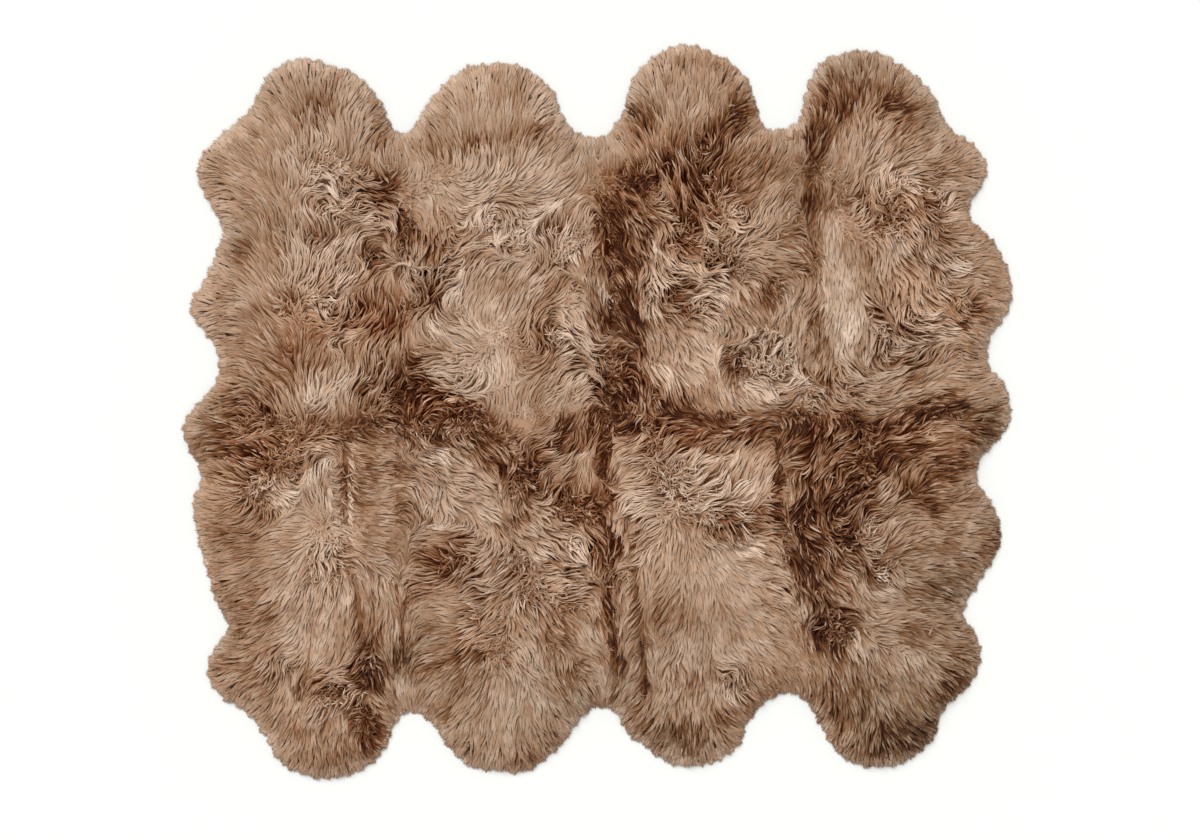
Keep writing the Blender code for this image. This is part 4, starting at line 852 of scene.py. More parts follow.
def putMesh(name, points, triangles, material, uv=None, normals=None, **values):
    # A mesh from arrays of points and triangles, smooth, with one number a point for each named value.
    mesh = bpy.data.meshes.new(name)
    mesh.vertices.add(len(points))
    mesh.vertices.foreach_set("co", points.astype(np.float32).ravel())
    mesh.loops.add(triangles.size)
    mesh.loops.foreach_set("vertex_index", triangles.astype(np.int32).ravel())
    mesh.polygons.add(len(triangles))
    mesh.polygons.foreach_set("loop_start", np.arange(0, triangles.size, 3, dtype=np.int32))
    mesh.update(calc_edges=True)
    mesh.polygons.foreach_set("use_smooth", np.ones(len(triangles), bool))
    if uv is not None:
        layer = mesh.uv_layers.new(name="UVMap")
        layer.data.foreach_set("uv", uv.astype(np.float32).ravel())
    for key, numbers in values.items():
        attribute = mesh.attributes.new(key, "FLOAT", "POINT")
        attribute.data.foreach_set("value", numbers.astype(np.float32).ravel())
    mesh.materials.append(material)
    mesh.update()
    if normals is not None:
        mesh.normals_split_custom_set_from_vertices(normals)
    piece = bpy.data.objects.new(name, mesh)
    bpy.context.scene.collection.objects.link(piece)
    return piece


def lockShapes(form, spine, wide, thick, roll, tone, warm, pick, depth):
    # Tapered three-sided locks: rings of three corners round each spine, closed at the root and the tip.
    shares, widths = form
    count, ringCount = len(spine), len(shares)
    ahead = np.gradient(spine, axis=1)
    ahead /= np.linalg.norm(ahead, axis=2, keepdims=True) + 1e-9
    side = np.stack([-ahead[..., 1], ahead[..., 0], np.zeros(ahead.shape[:2])], axis=2)
    side /= np.linalg.norm(side, axis=2, keepdims=True) + 1e-9
    up = np.cross(ahead, side)
    turns = np.radians((90, 210, 330))[None, None, :] + roll[:, None, None]
    ringWide = np.array(widths)[None, :, None] * wide[:, None, None] * 0.5
    ringThick = np.array(widths)[None, :, None] * thick[:, None, None] * 0.5
    across, rise = np.cos(turns) * ringWide, np.sin(turns) * ringThick
    rings = (
        spine[:, :ringCount, None, :]
        + side[:, :ringCount, None, :] * across[..., None]
        + up[:, :ringCount, None, :] * rise[..., None]
    )
    points = np.concatenate([rings.reshape(count, -1, 3), spine[:, -1:, :]], axis=1)
    outward = np.concatenate([
        (rings - spine[:, :ringCount, None, :]).reshape(count, -1, 3) / (wide[:, None, None] * 0.5),
        ahead[:, -1:, :],
    ], axis=1)
    above = np.concatenate([np.repeat(up[:, :ringCount], 3, axis=1), up[:, -1:]], axis=1)
    shallow, deep = shading["leans"]
    upright = above + np.array((0, 0, shading["upright"]))
    normals = outward + shading["soft"] * (shallow - deep * depth[:, None, None]) * upright
    normals /= np.linalg.norm(normals, axis=2, keepdims=True) + 1e-9
    points[..., 2] = np.maximum(points[..., 2], wool["low"][1])
    corner = np.arange(3)
    following = (corner + 1) % 3
    faces, faceUv = [(0, 2, 1)], [((0, 0), (1, 0), (0.5, 0))]
    along = list(shares) + [1.0]
    for ring in range(ringCount - 1):
        for k, n in zip(corner, following):
            a, b, c, d = 3 * ring + k, 3 * ring + n, 3 * ring + 3 + n, 3 * ring + 3 + k
            low, high, left, right = along[ring], along[ring + 1], k / 3, (k + 1) / 3
            faces += [(a, b, c), (a, c, d)]
            faceUv += [((left, low), (right, low), (right, high)), ((left, low), (right, high), (left, high))]
    last = 3 * (ringCount - 1)
    for k, n in zip(corner, following):
        faces.append((last + k, last + n, last + 3))
        faceUv.append(((k / 3, along[-2]), ((k + 1) / 3, along[-2]), ((k + 0.5) / 3, 1.0)))
    each = points.shape[1]
    triangles = (np.array(faces)[None] + each * np.arange(count)[:, None, None]).reshape(-1, 3)
    uv = np.broadcast_to(np.array(faceUv)[None], (count, len(faces), 3, 2)).reshape(-1, 2)
    alongPoint = np.append(np.repeat(shares, 3), 1.0)[None]
    # painted shade at the root of deep locks, with darker root wool; paler tips with painted light on the top
    darker, fade = shading["root"]
    lighter, deepLighter = shading["tip"]
    shade = tone[:, None] - darker * depth[:, None] * (1 - alongPoint) ** fade
    shade += (lighter + deepLighter * depth[:, None]) * alongPoint
    return (
        points.reshape(-1, 3), triangles, uv, shade.ravel(), np.repeat(warm, each), np.repeat(pick, each),
        normals.reshape(-1, 3),
    )


def rimRoots(name, chance):
    # Roots along the free edge: rows of even spacing, set in from it up the slope of its distance.
    sides = freeSides[name]
    ends = np.cumsum(np.linalg.norm(sides[:, 1] - sides[:, 0], axis=1))
    slopeY, slopeX = np.gradient(softened(edgeGap, lie["edgeSlope"][1]), ground["step"])
    rows = []
    for row, inset in enumerate(rim["inset"]):
        count = int(ends[-1] / rim["spacing"][row])
        mark = (np.arange(count) + chance.uniform(-0.5, 0.5, count)) * ends[-1] / count
        which = np.clip(np.searchsorted(ends, mark), 0, len(sides) - 1)
        share = chance.uniform(0, 1, count)[:, None]
        spot = sides[which, 0] * (1 - share) + sides[which, 1] * share
        inX, inY = readMap(slopeX, spot[:, 0], spot[:, 1]), readMap(slopeY, spot[:, 0], spot[:, 1])
        size = np.sqrt(inX ** 2 + inY ** 2) + 1e-6
        back = inset * chance.uniform(*rim["insets"], count)
        rows.append((spot[:, 0] + inX / size * back, spot[:, 1] + inY / size * back, np.full(count, row)))
    return (np.concatenate(part) for part in zip(*rows))


def combedTufts(name, x, y, curl, rimRow, below, chance):
    # Neighbouring locks stray from the comb together, and their tips draw towards their tuft's own path.
    (fineX, fineY), (broadX, broadY) = (
        scattered(name, int(tufts["peltArea"] / pitch ** 2), chance) for pitch in tufts["pitch"]
    )
    tuftX, tuftY = np.append(fineX, broadX), np.append(fineY, broadY)
    tuftCurl = readMap(curlMap, tuftX, tuftY)
    stray = chance.normal(0, 1, len(tuftX)) * between(tufts["stray"], tuftCurl)
    tuftReach = wool["length"] * (1 + wool["curlLength"] * tuftCurl)
    tuftPathX, tuftPathY = combedPaths(tuftX, tuftY, tuftReach, stray)
    _, fineTuft = nearest(np.stack([x, y], axis=1), np.stack([fineX, fineY], axis=1))
    _, broadTuft = nearest(np.stack([x, y], axis=1), np.stack([broadX, broadY], axis=1))
    limit, uneven = tufts["broadFrom"]
    broad = curl + chance.normal(0, uneven, len(x)) > limit
    tuft = np.where(broad, len(fineX) + broadTuft, fineTuft)
    reach = wool["length"] * chance.uniform(*wool["lengths"], len(x)) * (1 + wool["curlLength"] * curl)
    reach = np.where(below, reach * under["length"], np.where(rimRow >= 0, rim["length"], reach))
    bias = chance.normal(0, wool["sway"], len(x)) * (1 + curl)
    bias = bias + np.where(rimRow >= 0, rim["stray"], 1) * stray[tuft]
    bias = np.where(below, chance.normal(0, under["sway"], len(x)), bias)
    pathX, pathY = combedPaths(x, y, reach, bias)
    gather = between(tufts["gather"], curl) * chance.uniform(*tufts["gathers"], len(x))
    gather = gather * np.where(rimRow >= 0, rim["gather"], np.where(below, under["gather"], 1))
    draw = gather[:, None] * stepShares ** tufts["gatherEase"]
    offX, offY = (x - tuftX[tuft])[:, None], (y - tuftY[tuft])[:, None]
    pathX = pathX + draw * (tuftPathX[tuft] + tufts["spread"] * offX - pathX)
    pathY = pathY + draw * (tuftPathY[tuft] + tufts["spread"] * offY - pathY)
    return pathX, pathY, tuftX, tuftY, tuft


def gapFillers(name, pathX, pathY, chance):
    # Short bent locks, as many as are lacking in each map square that too few paths cross.
    crossed = np.zeros(mapX.shape)
    np.add.at(crossed, gridPlace(pathX, pathY), 1)
    crossed = softened(crossed, ground["step"])
    thin = peltMaps[name] & (edgeGap > filling["clear"]) & (crossed < filling["points"])
    lacking = np.ceil(filling["points"] - crossed[thin]).astype(int)
    x, y = np.repeat(mapX[thin], lacking), np.repeat(mapY[thin], lacking)
    count = len(x)
    x = x + chance.uniform(-0.5, 0.5, count) * ground["step"]
    y = y + chance.uniform(-0.5, 0.5, count) * ground["step"]
    heading = np.arctan2(readMap(flowY, x, y), readMap(flowX, x, y))
    heading = heading + chance.normal(0, filling["sway"], count)
    aheadX, aheadY = np.cos(heading), np.sin(heading)
    reach = chance.uniform(*filling["length"], count)
    x = x - aheadX * reach * filling["behind"]
    y = y - aheadY * reach * filling["behind"]
    bend = chance.normal(0, filling["bend"], count)[:, None] * np.sin(np.pi * stepShares)
    pathX = x[:, None] + aheadX[:, None] * reach[:, None] * stepShares - aheadY[:, None] * bend
    pathY = y[:, None] + aheadY[:, None] * reach[:, None] * stepShares + aheadX[:, None] * bend
    return x, y, pathX, pathY


def usedShare(pathX, pathY, chance):
    # Share of each path that becomes a lock: up to where it passes the free edge, which is made ragged.
    gap = 0.5 * (readMap(smoothGap, pathX, pathY) + readMap(edgeGap, pathX, pathY))
    ragged = layeredNoise(rim["ragged"], pathX[:, -1], pathY[:, -1])
    limit = -chance.uniform(*rim["past"], len(pathX)) - ragged
    beyond = gap < limit[:, None]
    first = np.where(beyond.any(axis=1), beyond.argmax(axis=1), wool["steps"])
    row = np.arange(len(pathX))
    before = np.maximum(first - 1, 0)
    fall = gap[row, before] - gap[row, first]
    part = np.clip((gap[row, before] - limit) / np.where(np.abs(fall) < 1e-6, 1, fall), 0, 1)
    usable = np.where(beyond.any(axis=1), (before + part) / wool["steps"], 1.0)
    return np.maximum(usable, wool["least"])


def lockTones(pathX, pathY, usable, tuftX, tuftY, tuft, curl, middle, chance):
    # Tone of each lock and how dark its wool is: read from the map near its tuft, then made uneven.
    spot = usable[:, None] * shading["along"]
    midX, midY = atShares(pathX, spot)[:, 0], atShares(pathY, spot)[:, 0]
    driftX, driftY = chance.normal(0, shading["drift"], (2, len(tuftX)))
    fromTuft = shading["tuftShare"]
    toneX = (1 - fromTuft) * midX + fromTuft * tuftX[tuft] + driftX[tuft]
    toneY = (1 - fromTuft) * midY + fromTuft * tuftY[tuft] + driftY[tuft]
    tone = readMap(toneMap, toneX, toneY)
    smooth, added, growth = shading["darkCurl"]
    dark = np.clip((shading["dark"][0] - tone) / shading["dark"][1], 0, 1)
    dark = dark * (smooth + added * np.clip(curl * growth, 0, 1))
    amount, smooth, added = shading["tuftUneven"]
    tone += chance.normal(0, amount, len(tuftX))[tuft] * (smooth + added * curl)
    everywhere, added, inDark = shading["uneven"]
    tone += chance.normal(0, 1, len(tone)) * (everywhere + added * curl + inDark * dark)
    # painted highlight on the crests of curly tufts, and painted shade and light along seams and folds
    tone += shading["domeLight"] * middle + readMap(lineMap, midX, midY)
    paleShare, pale, others = shading["pale"]
    tone += dark * np.where(chance.uniform(0, 1, len(tone)) < paleShare, pale, others)
    # painted light at the free edge, where the thin wool lets light through
    edgeNear = np.maximum(readMap(edgeGap, midX, midY), 0) / shading["edgeLight"][1]
    tone += shading["edgeLight"][0] * np.exp(-edgeNear ** 2)
    return tone, dark


def growLocks(name, number, material):
    # Locks of a pelt: rooted low, rising along the comb to lie over the roots of those ahead.
    chance = np.random.default_rng(wool["seed"] + number)
    x, y = scattered(name, wool["locks"], chance)
    keep = readMap(edgeGap, x, y) > wool["clear"]
    rimX, rimY, rimRow = rimRoots(name, chance)
    rimRow = np.append(np.full(keep.sum(), -1), rimRow)
    x, y = np.append(x[keep], rimX), np.append(y[keep], rimY)
    curl = readMap(curlMap, x, y)
    below = (chance.uniform(0, 1, len(x)) < under["share"]) & (rimRow < 0)
    pathX, pathY, tuftX, tuftY, tuft = combedTufts(name, x, y, curl, rimRow, below, chance)
    fillX, fillY, fillPathX, fillPathY = gapFillers(name, pathX, pathY, chance)
    _, fillTuft = nearest(np.stack([fillX, fillY], axis=1), np.stack([tuftX, tuftY], axis=1))
    more, count = len(fillX), len(x) + len(fillX)
    filler = np.arange(count) >= len(x)
    x, y, curl = np.append(x, fillX), np.append(y, fillY), np.append(curl, readMap(curlMap, fillX, fillY))
    pathX, pathY = np.concatenate([pathX, fillPathX]), np.concatenate([pathY, fillPathY])
    tuft, below = np.append(tuft, fillTuft), np.append(below, np.zeros(more, bool))
    atRim, rimRow = np.append(rimRow >= 0, np.zeros(more, bool)), np.append(rimRow, np.zeros(more, int))
    usable = usedShare(pathX, pathY, chance)

    # sizes and lifts: curly tufts stand higher in their middle
    tuftLift = between(tufts["lift"], curl) * chance.normal(0, 1, len(tuftX))[tuft]
    tuftLift += chance.normal(0, wool["lift"], count)
    fromMiddle = np.hypot(x - tuftX[tuft], y - tuftY[tuft]) / (0.5 * tufts["pitch"][1])
    middle = np.clip(1 - fromMiddle ** 2, -1, 1) * curl
    tuftLift += tufts["dome"] * middle
    lift = np.array(rim["lift"])[np.maximum(rimRow, 0)] * chance.uniform(*rim["lifts"], count)
    fineShare, fineSize = wool["fine"]
    size = chance.uniform(*wool["sizes"], count)
    size *= np.where(chance.uniform(0, 1, count) < fineShare, fineSize, 1)
    size *= np.where(atRim, rim["size"], wool["usualSize"][0] - wool["usualSize"][1] * curl)
    rounded = np.minimum(curl * 2, 1)                # how round a lock is, from flat and smooth to curly
    wide, thick = wool["width"] * size, wool["thickness"] * size * between((wool["flat"], 1), rounded)

    # tones: locks under the others and in gaps are darker with painted shade, the finest a little lighter
    tone, dark = lockTones(pathX, pathY, usable, tuftX, tuftY, tuft, curl, middle, chance)
    tone += np.where(size < shading["fineLight"][0], shading["fineLight"][1], 0)
    tone -= np.where(below, under["darker"], 0) + np.where(filler, filling["darker"], 0)
    warm = np.clip(readMap(warmMap, x, y) + chance.normal(0, shading["warmUneven"], count), 0, 1)
    roll = chance.uniform(-0.5, 0.5, count) * between(wool["rolls"], rounded)
    pick = chance.uniform(0, 1, count)
    base, added, inDark, most = shading["depth"]
    depth = np.minimum(base + added * curl + inDark * dark, most) * np.where(atRim, rim["depth"], 1)

    # heights: buried at the root, on top of the pile at the tip
    made = []
    curly = (curl > wool["curlyFrom"]) & ~atRim & ~below & ~filler
    for form, chosen in ((wool["plain"], ~curly), (wool["curly"], curly)):
        along = np.array(list(form[0]) + [1.0])[None, :]
        shares = along * usable[chosen][:, None]
        spineX, spineY = atShares(pathX[chosen], shares), atShares(pathY[chosen], shares)
        pile = readMap(pileMap, spineX, spineY)
        root = wool["root"][0] - wool["root"][1] * curl[chosen][:, None]
        rise = root + (1 - root) * np.sin(np.clip(along * wool["rise"], 0, 1) * np.pi / 2)
        rise = rise - under["lower"] * below[chosen][:, None]
        spineZ = pile * rise + tuftLift[chosen][:, None] * np.sin(along * wool["arch"])
        rimZ = lift[chosen][:, None] + np.clip(readMap(smoothGap, spineX, spineY), 0, 1) * rim["slope"]
        rimZ = np.minimum(np.maximum(rimZ, wool["low"][0]), pile + rim["overPile"])
        spineZ = np.maximum(np.where(atRim[chosen][:, None], rimZ, spineZ), wool["low"][0])
        spine = np.stack([spineX, spineY, spineZ], axis=2)
        values = (value[chosen] for value in (wide, thick, roll, tone, warm, pick, depth))
        made.append(lockShapes(form, spine, *values))
    made[1] = (made[1][0], made[1][1] + len(made[0][0]), *made[1][2:])   # numbered on from the first form
    points, triangles, uv, tone, warm, pick, normals = (np.concatenate(part) for part in zip(*made))
    return putMesh(
        name.replace("pelt", "locks"), points, triangles, material, uv, normals,
        tone=tone, warm=warm, pick=pick,
    )


# The undercoat and the hide, each a closed disc.
fleece = {
    "rings": 15,
    "bearings": 130,
    "inset": 0.016,
    "share": (0.80, 0.46),       # of the pile's height, under smooth and curly wool
    "edge": 0.0030,
    "least": 0.0035,             # lowest height
    "ease": 0.05,                # metres over which it rises from its edge
    "lumps": 0.0022,
    "uneven": ((1, 0.034, 31), (0.6, 0.016, 32)),    # amount of the lumps, pitch, seed
    "clear": 0.0003,             # gap to the seam
    "darker": (0.08, 0.36),      # painted shade under the locks: everywhere, and what curl adds
    "deeper": (0.25, 0.6, 0.5),  # painted shade: how much darker still dark wool is, below which tone, and the most
}
hide = {
    "rings": 4,
    "bearings": 130,
    "inset": 0.034,
    "thick": 0.0024,
    "clear": 0.0002,             # gap to the seam
}
disc = {
    "trials": 240,               # points tried on each bearing, from the share below out to the outline
    "from": 0.2,
    "far": 9,                    # metres, for a side that a bearing doesn't cross
    "spacing": 0.85,             # rings draw closer together towards the edge
}


def peltEdge(name, bearings, inset):
    # Edge of a pelt from its middle: on each bearing, the nearest crossing with the outline or the inset.
    sides = outlines[name]
    middle = sides.reshape(-1, 2).mean(axis=0)
    seam = seamSides[name].reshape(-1, 2) - middle
    angles = np.concatenate([
        np.linspace(-np.pi, np.pi, bearings, endpoint=False), np.arctan2(seam[:, 1], seam[:, 0])
    ])
    angles = np.unique(np.round(angles, 4))
    way = np.stack([np.cos(angles), np.sin(angles)], axis=1)
    a, run = sides[None, :, 0] - middle, (sides[:, 1] - sides[:, 0])[None]
    slant = way[:, None, 0] * run[..., 1] - way[:, None, 1] * run[..., 0]
    slant = np.where(np.abs(slant) < 1e-12, 1e-12, slant)                # a side along the bearing is missed
    reach = (a[..., 0] * run[..., 1] - a[..., 1] * run[..., 0]) / slant
    share = (a[..., 0] * way[:, None, 1] - a[..., 1] * way[:, None, 0]) / slant
    good = (reach > 0) & (share > -0.01) & (share < 1.01)
    radius = np.where(good, reach, disc["far"]).min(axis=1)
    trial = np.linspace(disc["from"], 1, disc["trials"])[None, :] * radius[:, None]
    gap = readMap(edgeGap, middle[0] + trial * way[:, :1], middle[1] + trial * way[:, 1:])
    short = gap < inset
    first = np.where(short.any(axis=1), short.argmax(axis=1), disc["trials"] - 1)
    radius = np.minimum(radius, trial[np.arange(len(angles)), first])
    return middle, angles, radius


def closedDisc(middle, angles, radius, rings, topOf, bottom):
    # Closed disc from two parameters, bearing and share of the radius: a shaped top over a flat underside.
    share = np.linspace(0, 1, rings + 1)[1:] ** disc["spacing"]
    x = middle[0] + share[:, None] * (radius * np.cos(angles))[None]
    y = middle[1] + share[:, None] * (radius * np.sin(angles))[None]
    around, last = len(angles), rings * len(angles)
    top = np.stack([x, y, topOf(x, y)], axis=2).reshape(-1, 3)
    foot = np.stack([x[-1], y[-1], np.full(around, bottom)], axis=1)
    centre = topOf(np.array([middle[0]]), np.array([middle[1]]))[0]
    ends = np.array([(middle[0], middle[1], centre), (middle[0], middle[1], bottom)])
    points = np.concatenate([top, foot, ends])
    k = np.arange(around)
    n = (k + 1) % around
    faces = [np.stack([np.full(around, last + around), k, n], axis=1)]
    for ring in range(rings - 1):
        low, high = ring * around, (ring + 1) * around
        faces.append(np.stack([low + k, high + k, high + n], axis=1))
        faces.append(np.stack([low + k, high + n, low + n], axis=1))
    outer = last - around
    faces.append(np.stack([outer + k, last + k, last + n], axis=1))
    faces.append(np.stack([outer + k, last + n, outer + n], axis=1))
    faces.append(np.stack([np.full(around, last + around + 1), last + n, last + k], axis=1))
    return points, np.concatenate(faces)


def growFleece(name, material):
    # Undercoat: a share of the pile's height with small lumps, falling to a thin edge at the rim.
    middle, angles, radius = peltEdge(name, fleece["bearings"], fleece["inset"])

    def topOf(x, y):
        lumps = fleece["lumps"] * layeredNoise(fleece["uneven"], x, y)
        ease = np.clip((readMap(edgeGap, x, y) - fleece["inset"]) / fleece["ease"], 0, 1)
        share = between(fleece["share"], readMap(curlMap, x, y))
        height = fleece["edge"] + ease * (readMap(pileMap, x, y) * share + lumps)
        return np.maximum(height, fleece["least"])

    radius = radius - fleece["clear"]
    points, triangles = closedDisc(middle, angles, radius, fleece["rings"], topOf, hide["thick"])
    x, y = points[:, 0], points[:, 1]
    tone, warm = readMap(toneMap, x, y), readMap(warmMap, x, y)
    # painted shade: the undercoat is darker than the wool over it, more so under curly and dark wool
    everywhere, added = fleece["darker"]
    deeper, limit, most = fleece["deeper"]
    tone -= everywhere + added * readMap(curlMap, x, y) + deeper * np.clip(limit - tone, 0, most)
    return putMesh(name.replace("pelt", "fleece"), points, triangles, material, tone=tone, warm=warm)


def cutHide(name, material):
    # Hide: a flat sheet of even thickness under the undercoat. Its area is the sum of its thin triangles.
    middle, angles, radius = peltEdge(name, hide["bearings"], hide["inset"])

    def topOf(x, y):
        return np.full(x.shape, hide["thick"])

    points, triangles = closedDisc(middle, angles, radius - hide["clear"], hide["rings"], topOf, 0.0)
    wedges = np.diff(np.append(angles, angles[0] + 2 * np.pi))
    flatArea = 0.5 * np.sum(radius * np.roll(radius, -1) * np.sin(wedges))
    size = np.ptp(points[:, :2], axis=0)
    return putMesh(name.replace("pelt", "hide"), points, triangles, material), size, flatArea


def linked(tree, fromNode, fromSocket, toNode, toSocket):
    # A link from one node's output to another's input, each by name or number.
    tree.links.new(fromNode.outputs[fromSocket], toNode.inputs[toSocket])


def node(tree, kind, **settings):
    # A node with its settings: a key that names an input sets that input, and any other the node itself.
    made = tree.nodes.new(kind)
    for key, value in settings.items():
        if key in made.inputs:
            made.inputs[key].default_value = value
        else:
            setattr(made, key, value)
    return made


def fillRamp(ramp, colours):
    # A ramp's colours: a place and a colour for each of its stops.
    while len(ramp.color_ramp.elements) < len(colours):
        ramp.color_ramp.elements.new(0.5)
    for element, (place, colour) in zip(ramp.color_ramp.elements, colours):
        element.position = place
        element.color = (*colour, 1)


def paintOf(name, looks):
    # A new material with its shader's inputs set as the looks say.
    material = bpy.data.materials.new(name)
    material.use_nodes = True
    shader = material.node_tree.nodes["Principled BSDF"]
    for key, value in looks.items():
        shader.inputs[key].default_value = value
    return material, material.node_tree, shader


def woolColourGroup():
    # Colour of wool: a greyer and a redder ramp over tone plus streaks, mixed by warmth.
    group = bpy.data.node_groups.new("woolColour", "ShaderNodeTree")
    for name in ("Tone", "Warm", "Streak", "Streak Strength"):
        group.interface.new_socket(name, in_out="INPUT", socket_type="NodeSocketFloat")
    group.interface.new_socket("Color", in_out="OUTPUT", socket_type="NodeSocketColor")
    group.interface.new_socket("Height", in_out="OUTPUT", socket_type="NodeSocketFloat")
    inside, outside = group.nodes.new("NodeGroupInput"), group.nodes.new("NodeGroupOutput")
    centred = node(group, "ShaderNodeMath", operation="SUBTRACT")
    centred.inputs[1].default_value = 0.5
    scaled = node(group, "ShaderNodeMath", operation="MULTIPLY")
    total = node(group, "ShaderNodeMath", operation="ADD")
    linked(group, inside, "Streak", centred, 0)
    linked(group, centred, 0, scaled, 0)
    linked(group, inside, "Streak Strength", scaled, 1)
    linked(group, inside, "Tone", total, 0)
    linked(group, scaled, 0, total, 1)
    greyRamp, warmRamp = node(group, "ShaderNodeValToRGB"), node(group, "ShaderNodeValToRGB")
    for ramp, colours in ((greyRamp, woolColours["grey"]), (warmRamp, woolColours["warm"])):
        fillRamp(ramp, colours)
        linked(group, total, 0, ramp, 0)
    mixed = node(group, "ShaderNodeMix", data_type="RGBA")
    linked(group, inside, "Warm", mixed, 0)
    linked(group, greyRamp, 0, mixed, 6)
    linked(group, warmRamp, 0, mixed, 7)
    linked(group, mixed, 2, outside, "Color")
    linked(group, inside, "Streak", outside, "Height")
    return group


woolColours = {
    "grey": [
        (0.00, (0.032, 0.011, 0.005)), (0.12, (0.086, 0.040, 0.018)), (0.25, (0.147, 0.081, 0.038)),
        (0.50, (0.300, 0.219, 0.155)), (0.75, (0.493, 0.402, 0.330)), (1.00, (0.705, 0.591, 0.503)),
    ],
    "warm": [
        (0.00, (0.048, 0.008, 0.001)), (0.12, (0.130, 0.032, 0.006)), (0.25, (0.209, 0.061, 0.016)),
        (0.50, (0.372, 0.177, 0.089)), (0.75, (0.523, 0.306, 0.186)), (1.00, (0.705, 0.480, 0.341)),
    ],
}
suedeColours = [(0.3, (0.50, 0.37, 0.25)), (0.7, (0.68, 0.56, 0.43))]
woolColour = woolColourGroup()


lockLooks = {
    "Roughness": 0.62,
    "Specular IOR Level": 0.10,
    "Sheen Weight": 0.04,
    "Sheen Roughness": 0.45,
    "Sheen Tint": (1.0, 0.84, 0.70, 1),
}
fleeceLooks = {"Roughness": 0.9, "Specular IOR Level": 0.0, "Sheen Weight": 0.0}
suedeLooks = {"Roughness": 0.88, "Specular IOR Level": 0.2, "Sheen Weight": 0.15}
streaks = {
    "across": 6.0,               # how often the tone changes across a lock, along it, and between locks
    "along": 1.3,
    "apart": 90.0,               # so far apart that no two locks look alike
    "locks": 0.42,               # how strongly streaks change the tone of locks and of the undercoat
    "fleece": 0.22,
    "fleeceScale": 260.0,
}


def woolMaterial(name, looks, strength, patternOf):
    # Wool: the ramps' colour with streaks from a noise, which also raise and lower the surface.
    material, tree, shader = paintOf(name, looks)
    tone = node(tree, "ShaderNodeAttribute", attribute_name="tone")
    warm = node(tree, "ShaderNodeAttribute", attribute_name="warm")
    noise = node(tree, "ShaderNodeTexNoise", Scale=1.0, Detail=2.0, Roughness=0.6)
    patternOf(tree, noise)
    colour = node(tree, "ShaderNodeGroup", node_tree=woolColour)
    colour.inputs["Streak Strength"].default_value = strength
    bump = node(tree, "ShaderNodeBump", Strength=0.55, Distance=0.0012)
    linked(tree, tone, "Fac", colour, "Tone")
    linked(tree, warm, "Fac", colour, "Warm")
    linked(tree, noise, "Fac", colour, "Streak")
    linked(tree, colour, "Color", shader, "Base Color")
    linked(tree, colour, "Height", bump, "Height")
    linked(tree, bump, "Normal", shader, "Normal")
    return material


def alongLocks(tree, noise):
    # Streaks run along each lock: the noise is read across, along, and at each lock's own number.
    pick = node(tree, "ShaderNodeAttribute", attribute_name="pick")
    chart = node(tree, "ShaderNodeUVMap", uv_map="UVMap")
    split, join = node(tree, "ShaderNodeSeparateXYZ"), node(tree, "ShaderNodeCombineXYZ")
    linked(tree, chart, 0, split, 0)
    ways = ((split, 0, "across"), (split, 1, "along"), (pick, "Fac", "apart"))
    for axis, (source, socket, way) in enumerate(ways):
        scale = node(tree, "ShaderNodeMath", operation="MULTIPLY")
        scale.inputs[1].default_value = streaks[way]
        linked(tree, source, socket, scale, 0)
        linked(tree, scale, 0, join, axis)
    linked(tree, join, 0, noise, "Vector")


def inPlace(tree, noise):
    # Flecks in the undercoat: the noise is read at the place on the rug.
    place = node(tree, "ShaderNodeTexCoord")
    noise.inputs["Scale"].default_value = streaks["fleeceScale"]
    linked(tree, place, "Object", noise, "Vector")


def suedeMaterial():
    # Buffed hide: pale tan with clouding and a fine nap.
    material, tree, shader = paintOf("hideSuede", suedeLooks)
    place = node(tree, "ShaderNodeTexCoord")
    clouds = node(tree, "ShaderNodeTexNoise", Scale=9.0, Detail=4.0, Roughness=0.6)
    nap = node(tree, "ShaderNodeTexNoise", Scale=420.0, Detail=3.0, Roughness=0.7)
    ramp = node(tree, "ShaderNodeValToRGB")
    fillRamp(ramp, suedeColours)
    bump = node(tree, "ShaderNodeBump", Strength=0.35, Distance=0.0006)
    linked(tree, place, "Object", clouds, "Vector")
    linked(tree, place, "Object", nap, "Vector")
    linked(tree, clouds, "Fac", ramp, 0)
    linked(tree, ramp, 0, shader, "Base Color")
    linked(tree, nap, "Fac", bump, "Height")
    linked(tree, bump, "Normal", shader, "Normal")
    return material


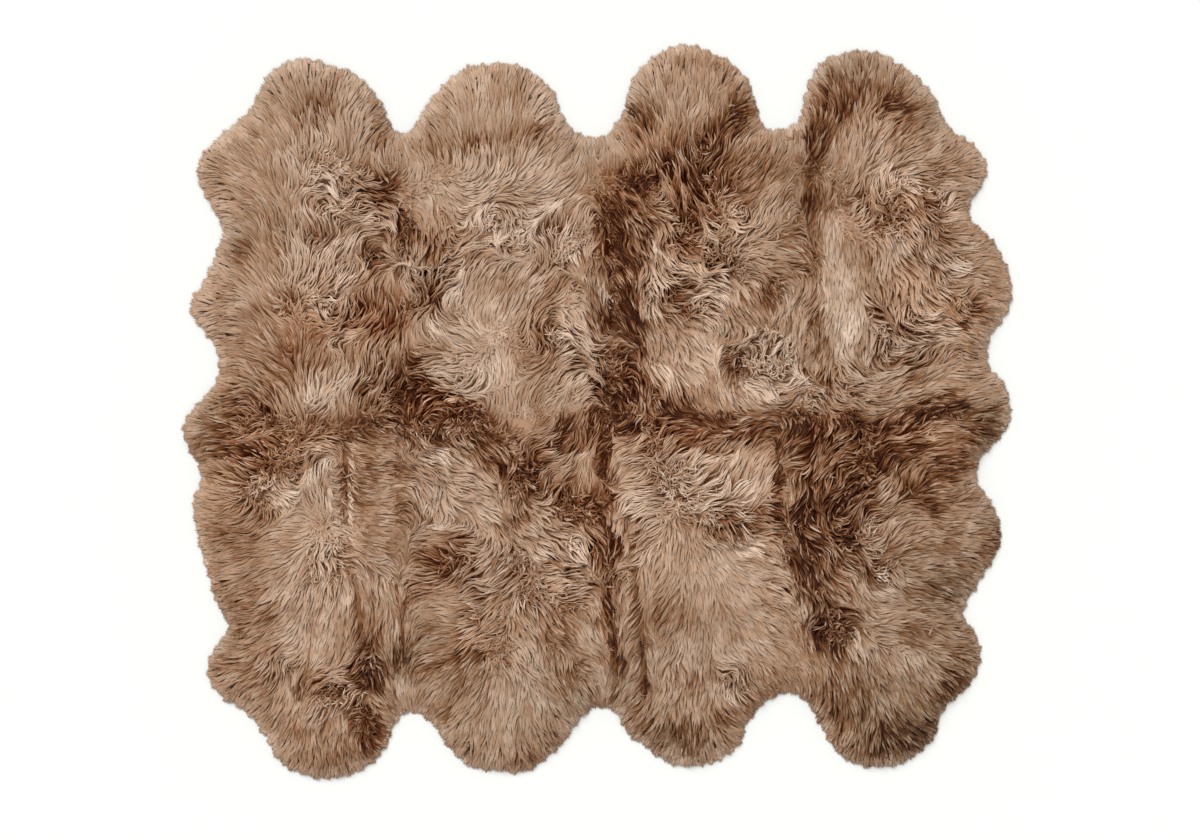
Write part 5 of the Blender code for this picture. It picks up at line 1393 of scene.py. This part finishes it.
locksWool = woolMaterial("locksWool", lockLooks, streaks["locks"], alongLocks)
fleeceWool = woolMaterial("fleeceWool", fleeceLooks, streaks["fleece"], inPlace)
hideSuede = suedeMaterial()
triangleCount = 0
for number, name in enumerate(peltNames):
    skin, size, flatArea = cutHide(name, hideSuede)
    undercoat = growFleece(name, fleeceWool)
    locks = growLocks(name, number, locksWool)
    for piece in (skin, undercoat, locks):
        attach(piece, "root")
        triangleCount += len(piece.data.polygons)
    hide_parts(name)
    print(name, *(f"{piece.name}: {len(piece.data.polygons)}" for piece in (skin, undercoat, locks)))
print("triangles in all:", triangleCount)

stage = {
    "floor": (0.80, 0.80, 0.795),
    "floorSize": 30,
    "camera": (600.0, 419.5),    # the step under the middle of the view
    "view": 1200.0,              # steps across the view
    "lens": 85.0,
    "film": 36.0,
    "sky": 0.76,                 # a warm fill and a cooler key come to white on the floor
    "skyTint": (1.0, 0.955, 0.91),
    "key": 2.4,
    "keyTint": (0.93, 0.99, 1.0),
    "keyTurn": (-43.0, 0.0, 32.0),
    "keyWidth": 32.0,            # degrees across the light, for soft shadows
}


def setStage():
    # Floor, sky and a broad key light, with the camera straight above.
    bpy.ops.mesh.primitive_plane_add(size=stage["floorSize"])
    floor = bpy.context.object
    floor.name = "floor"
    paint, _, _ = paintOf("floorPaint", {"Base Color": (*stage["floor"], 1), "Roughness": 0.9})
    floor.data.materials.append(paint)
    world = bpy.data.worlds.new("softRoom")
    world.use_nodes = True
    world.node_tree.nodes["Background"].inputs[0].default_value = (*stage["skyTint"], 1)
    world.node_tree.nodes["Background"].inputs[1].default_value = stage["sky"]
    bpy.context.scene.world = world
    lamp = bpy.data.lights.new("key", "SUN")
    lamp.energy, lamp.angle, lamp.color = stage["key"], np.radians(stage["keyWidth"]), stage["keyTint"]
    key = bpy.data.objects.new("key", lamp)
    key.rotation_euler = np.radians(stage["keyTurn"])
    bpy.context.scene.collection.objects.link(key)
    x, y = onFloor(*stage["camera"])
    lens = bpy.data.cameras.new("camera")
    lens.lens, lens.sensor_width = stage["lens"], stage["film"]
    camera = bpy.data.objects.new("camera", lens)
    camera.location = (x, y, stage["view"] * plan["step"] * stage["lens"] / stage["film"])
    bpy.context.scene.collection.objects.link(camera)
    bpy.context.scene.camera = camera
    bpy.context.scene.view_settings.view_transform = "Standard"


setStage()
bpy.context.view_layer.update()
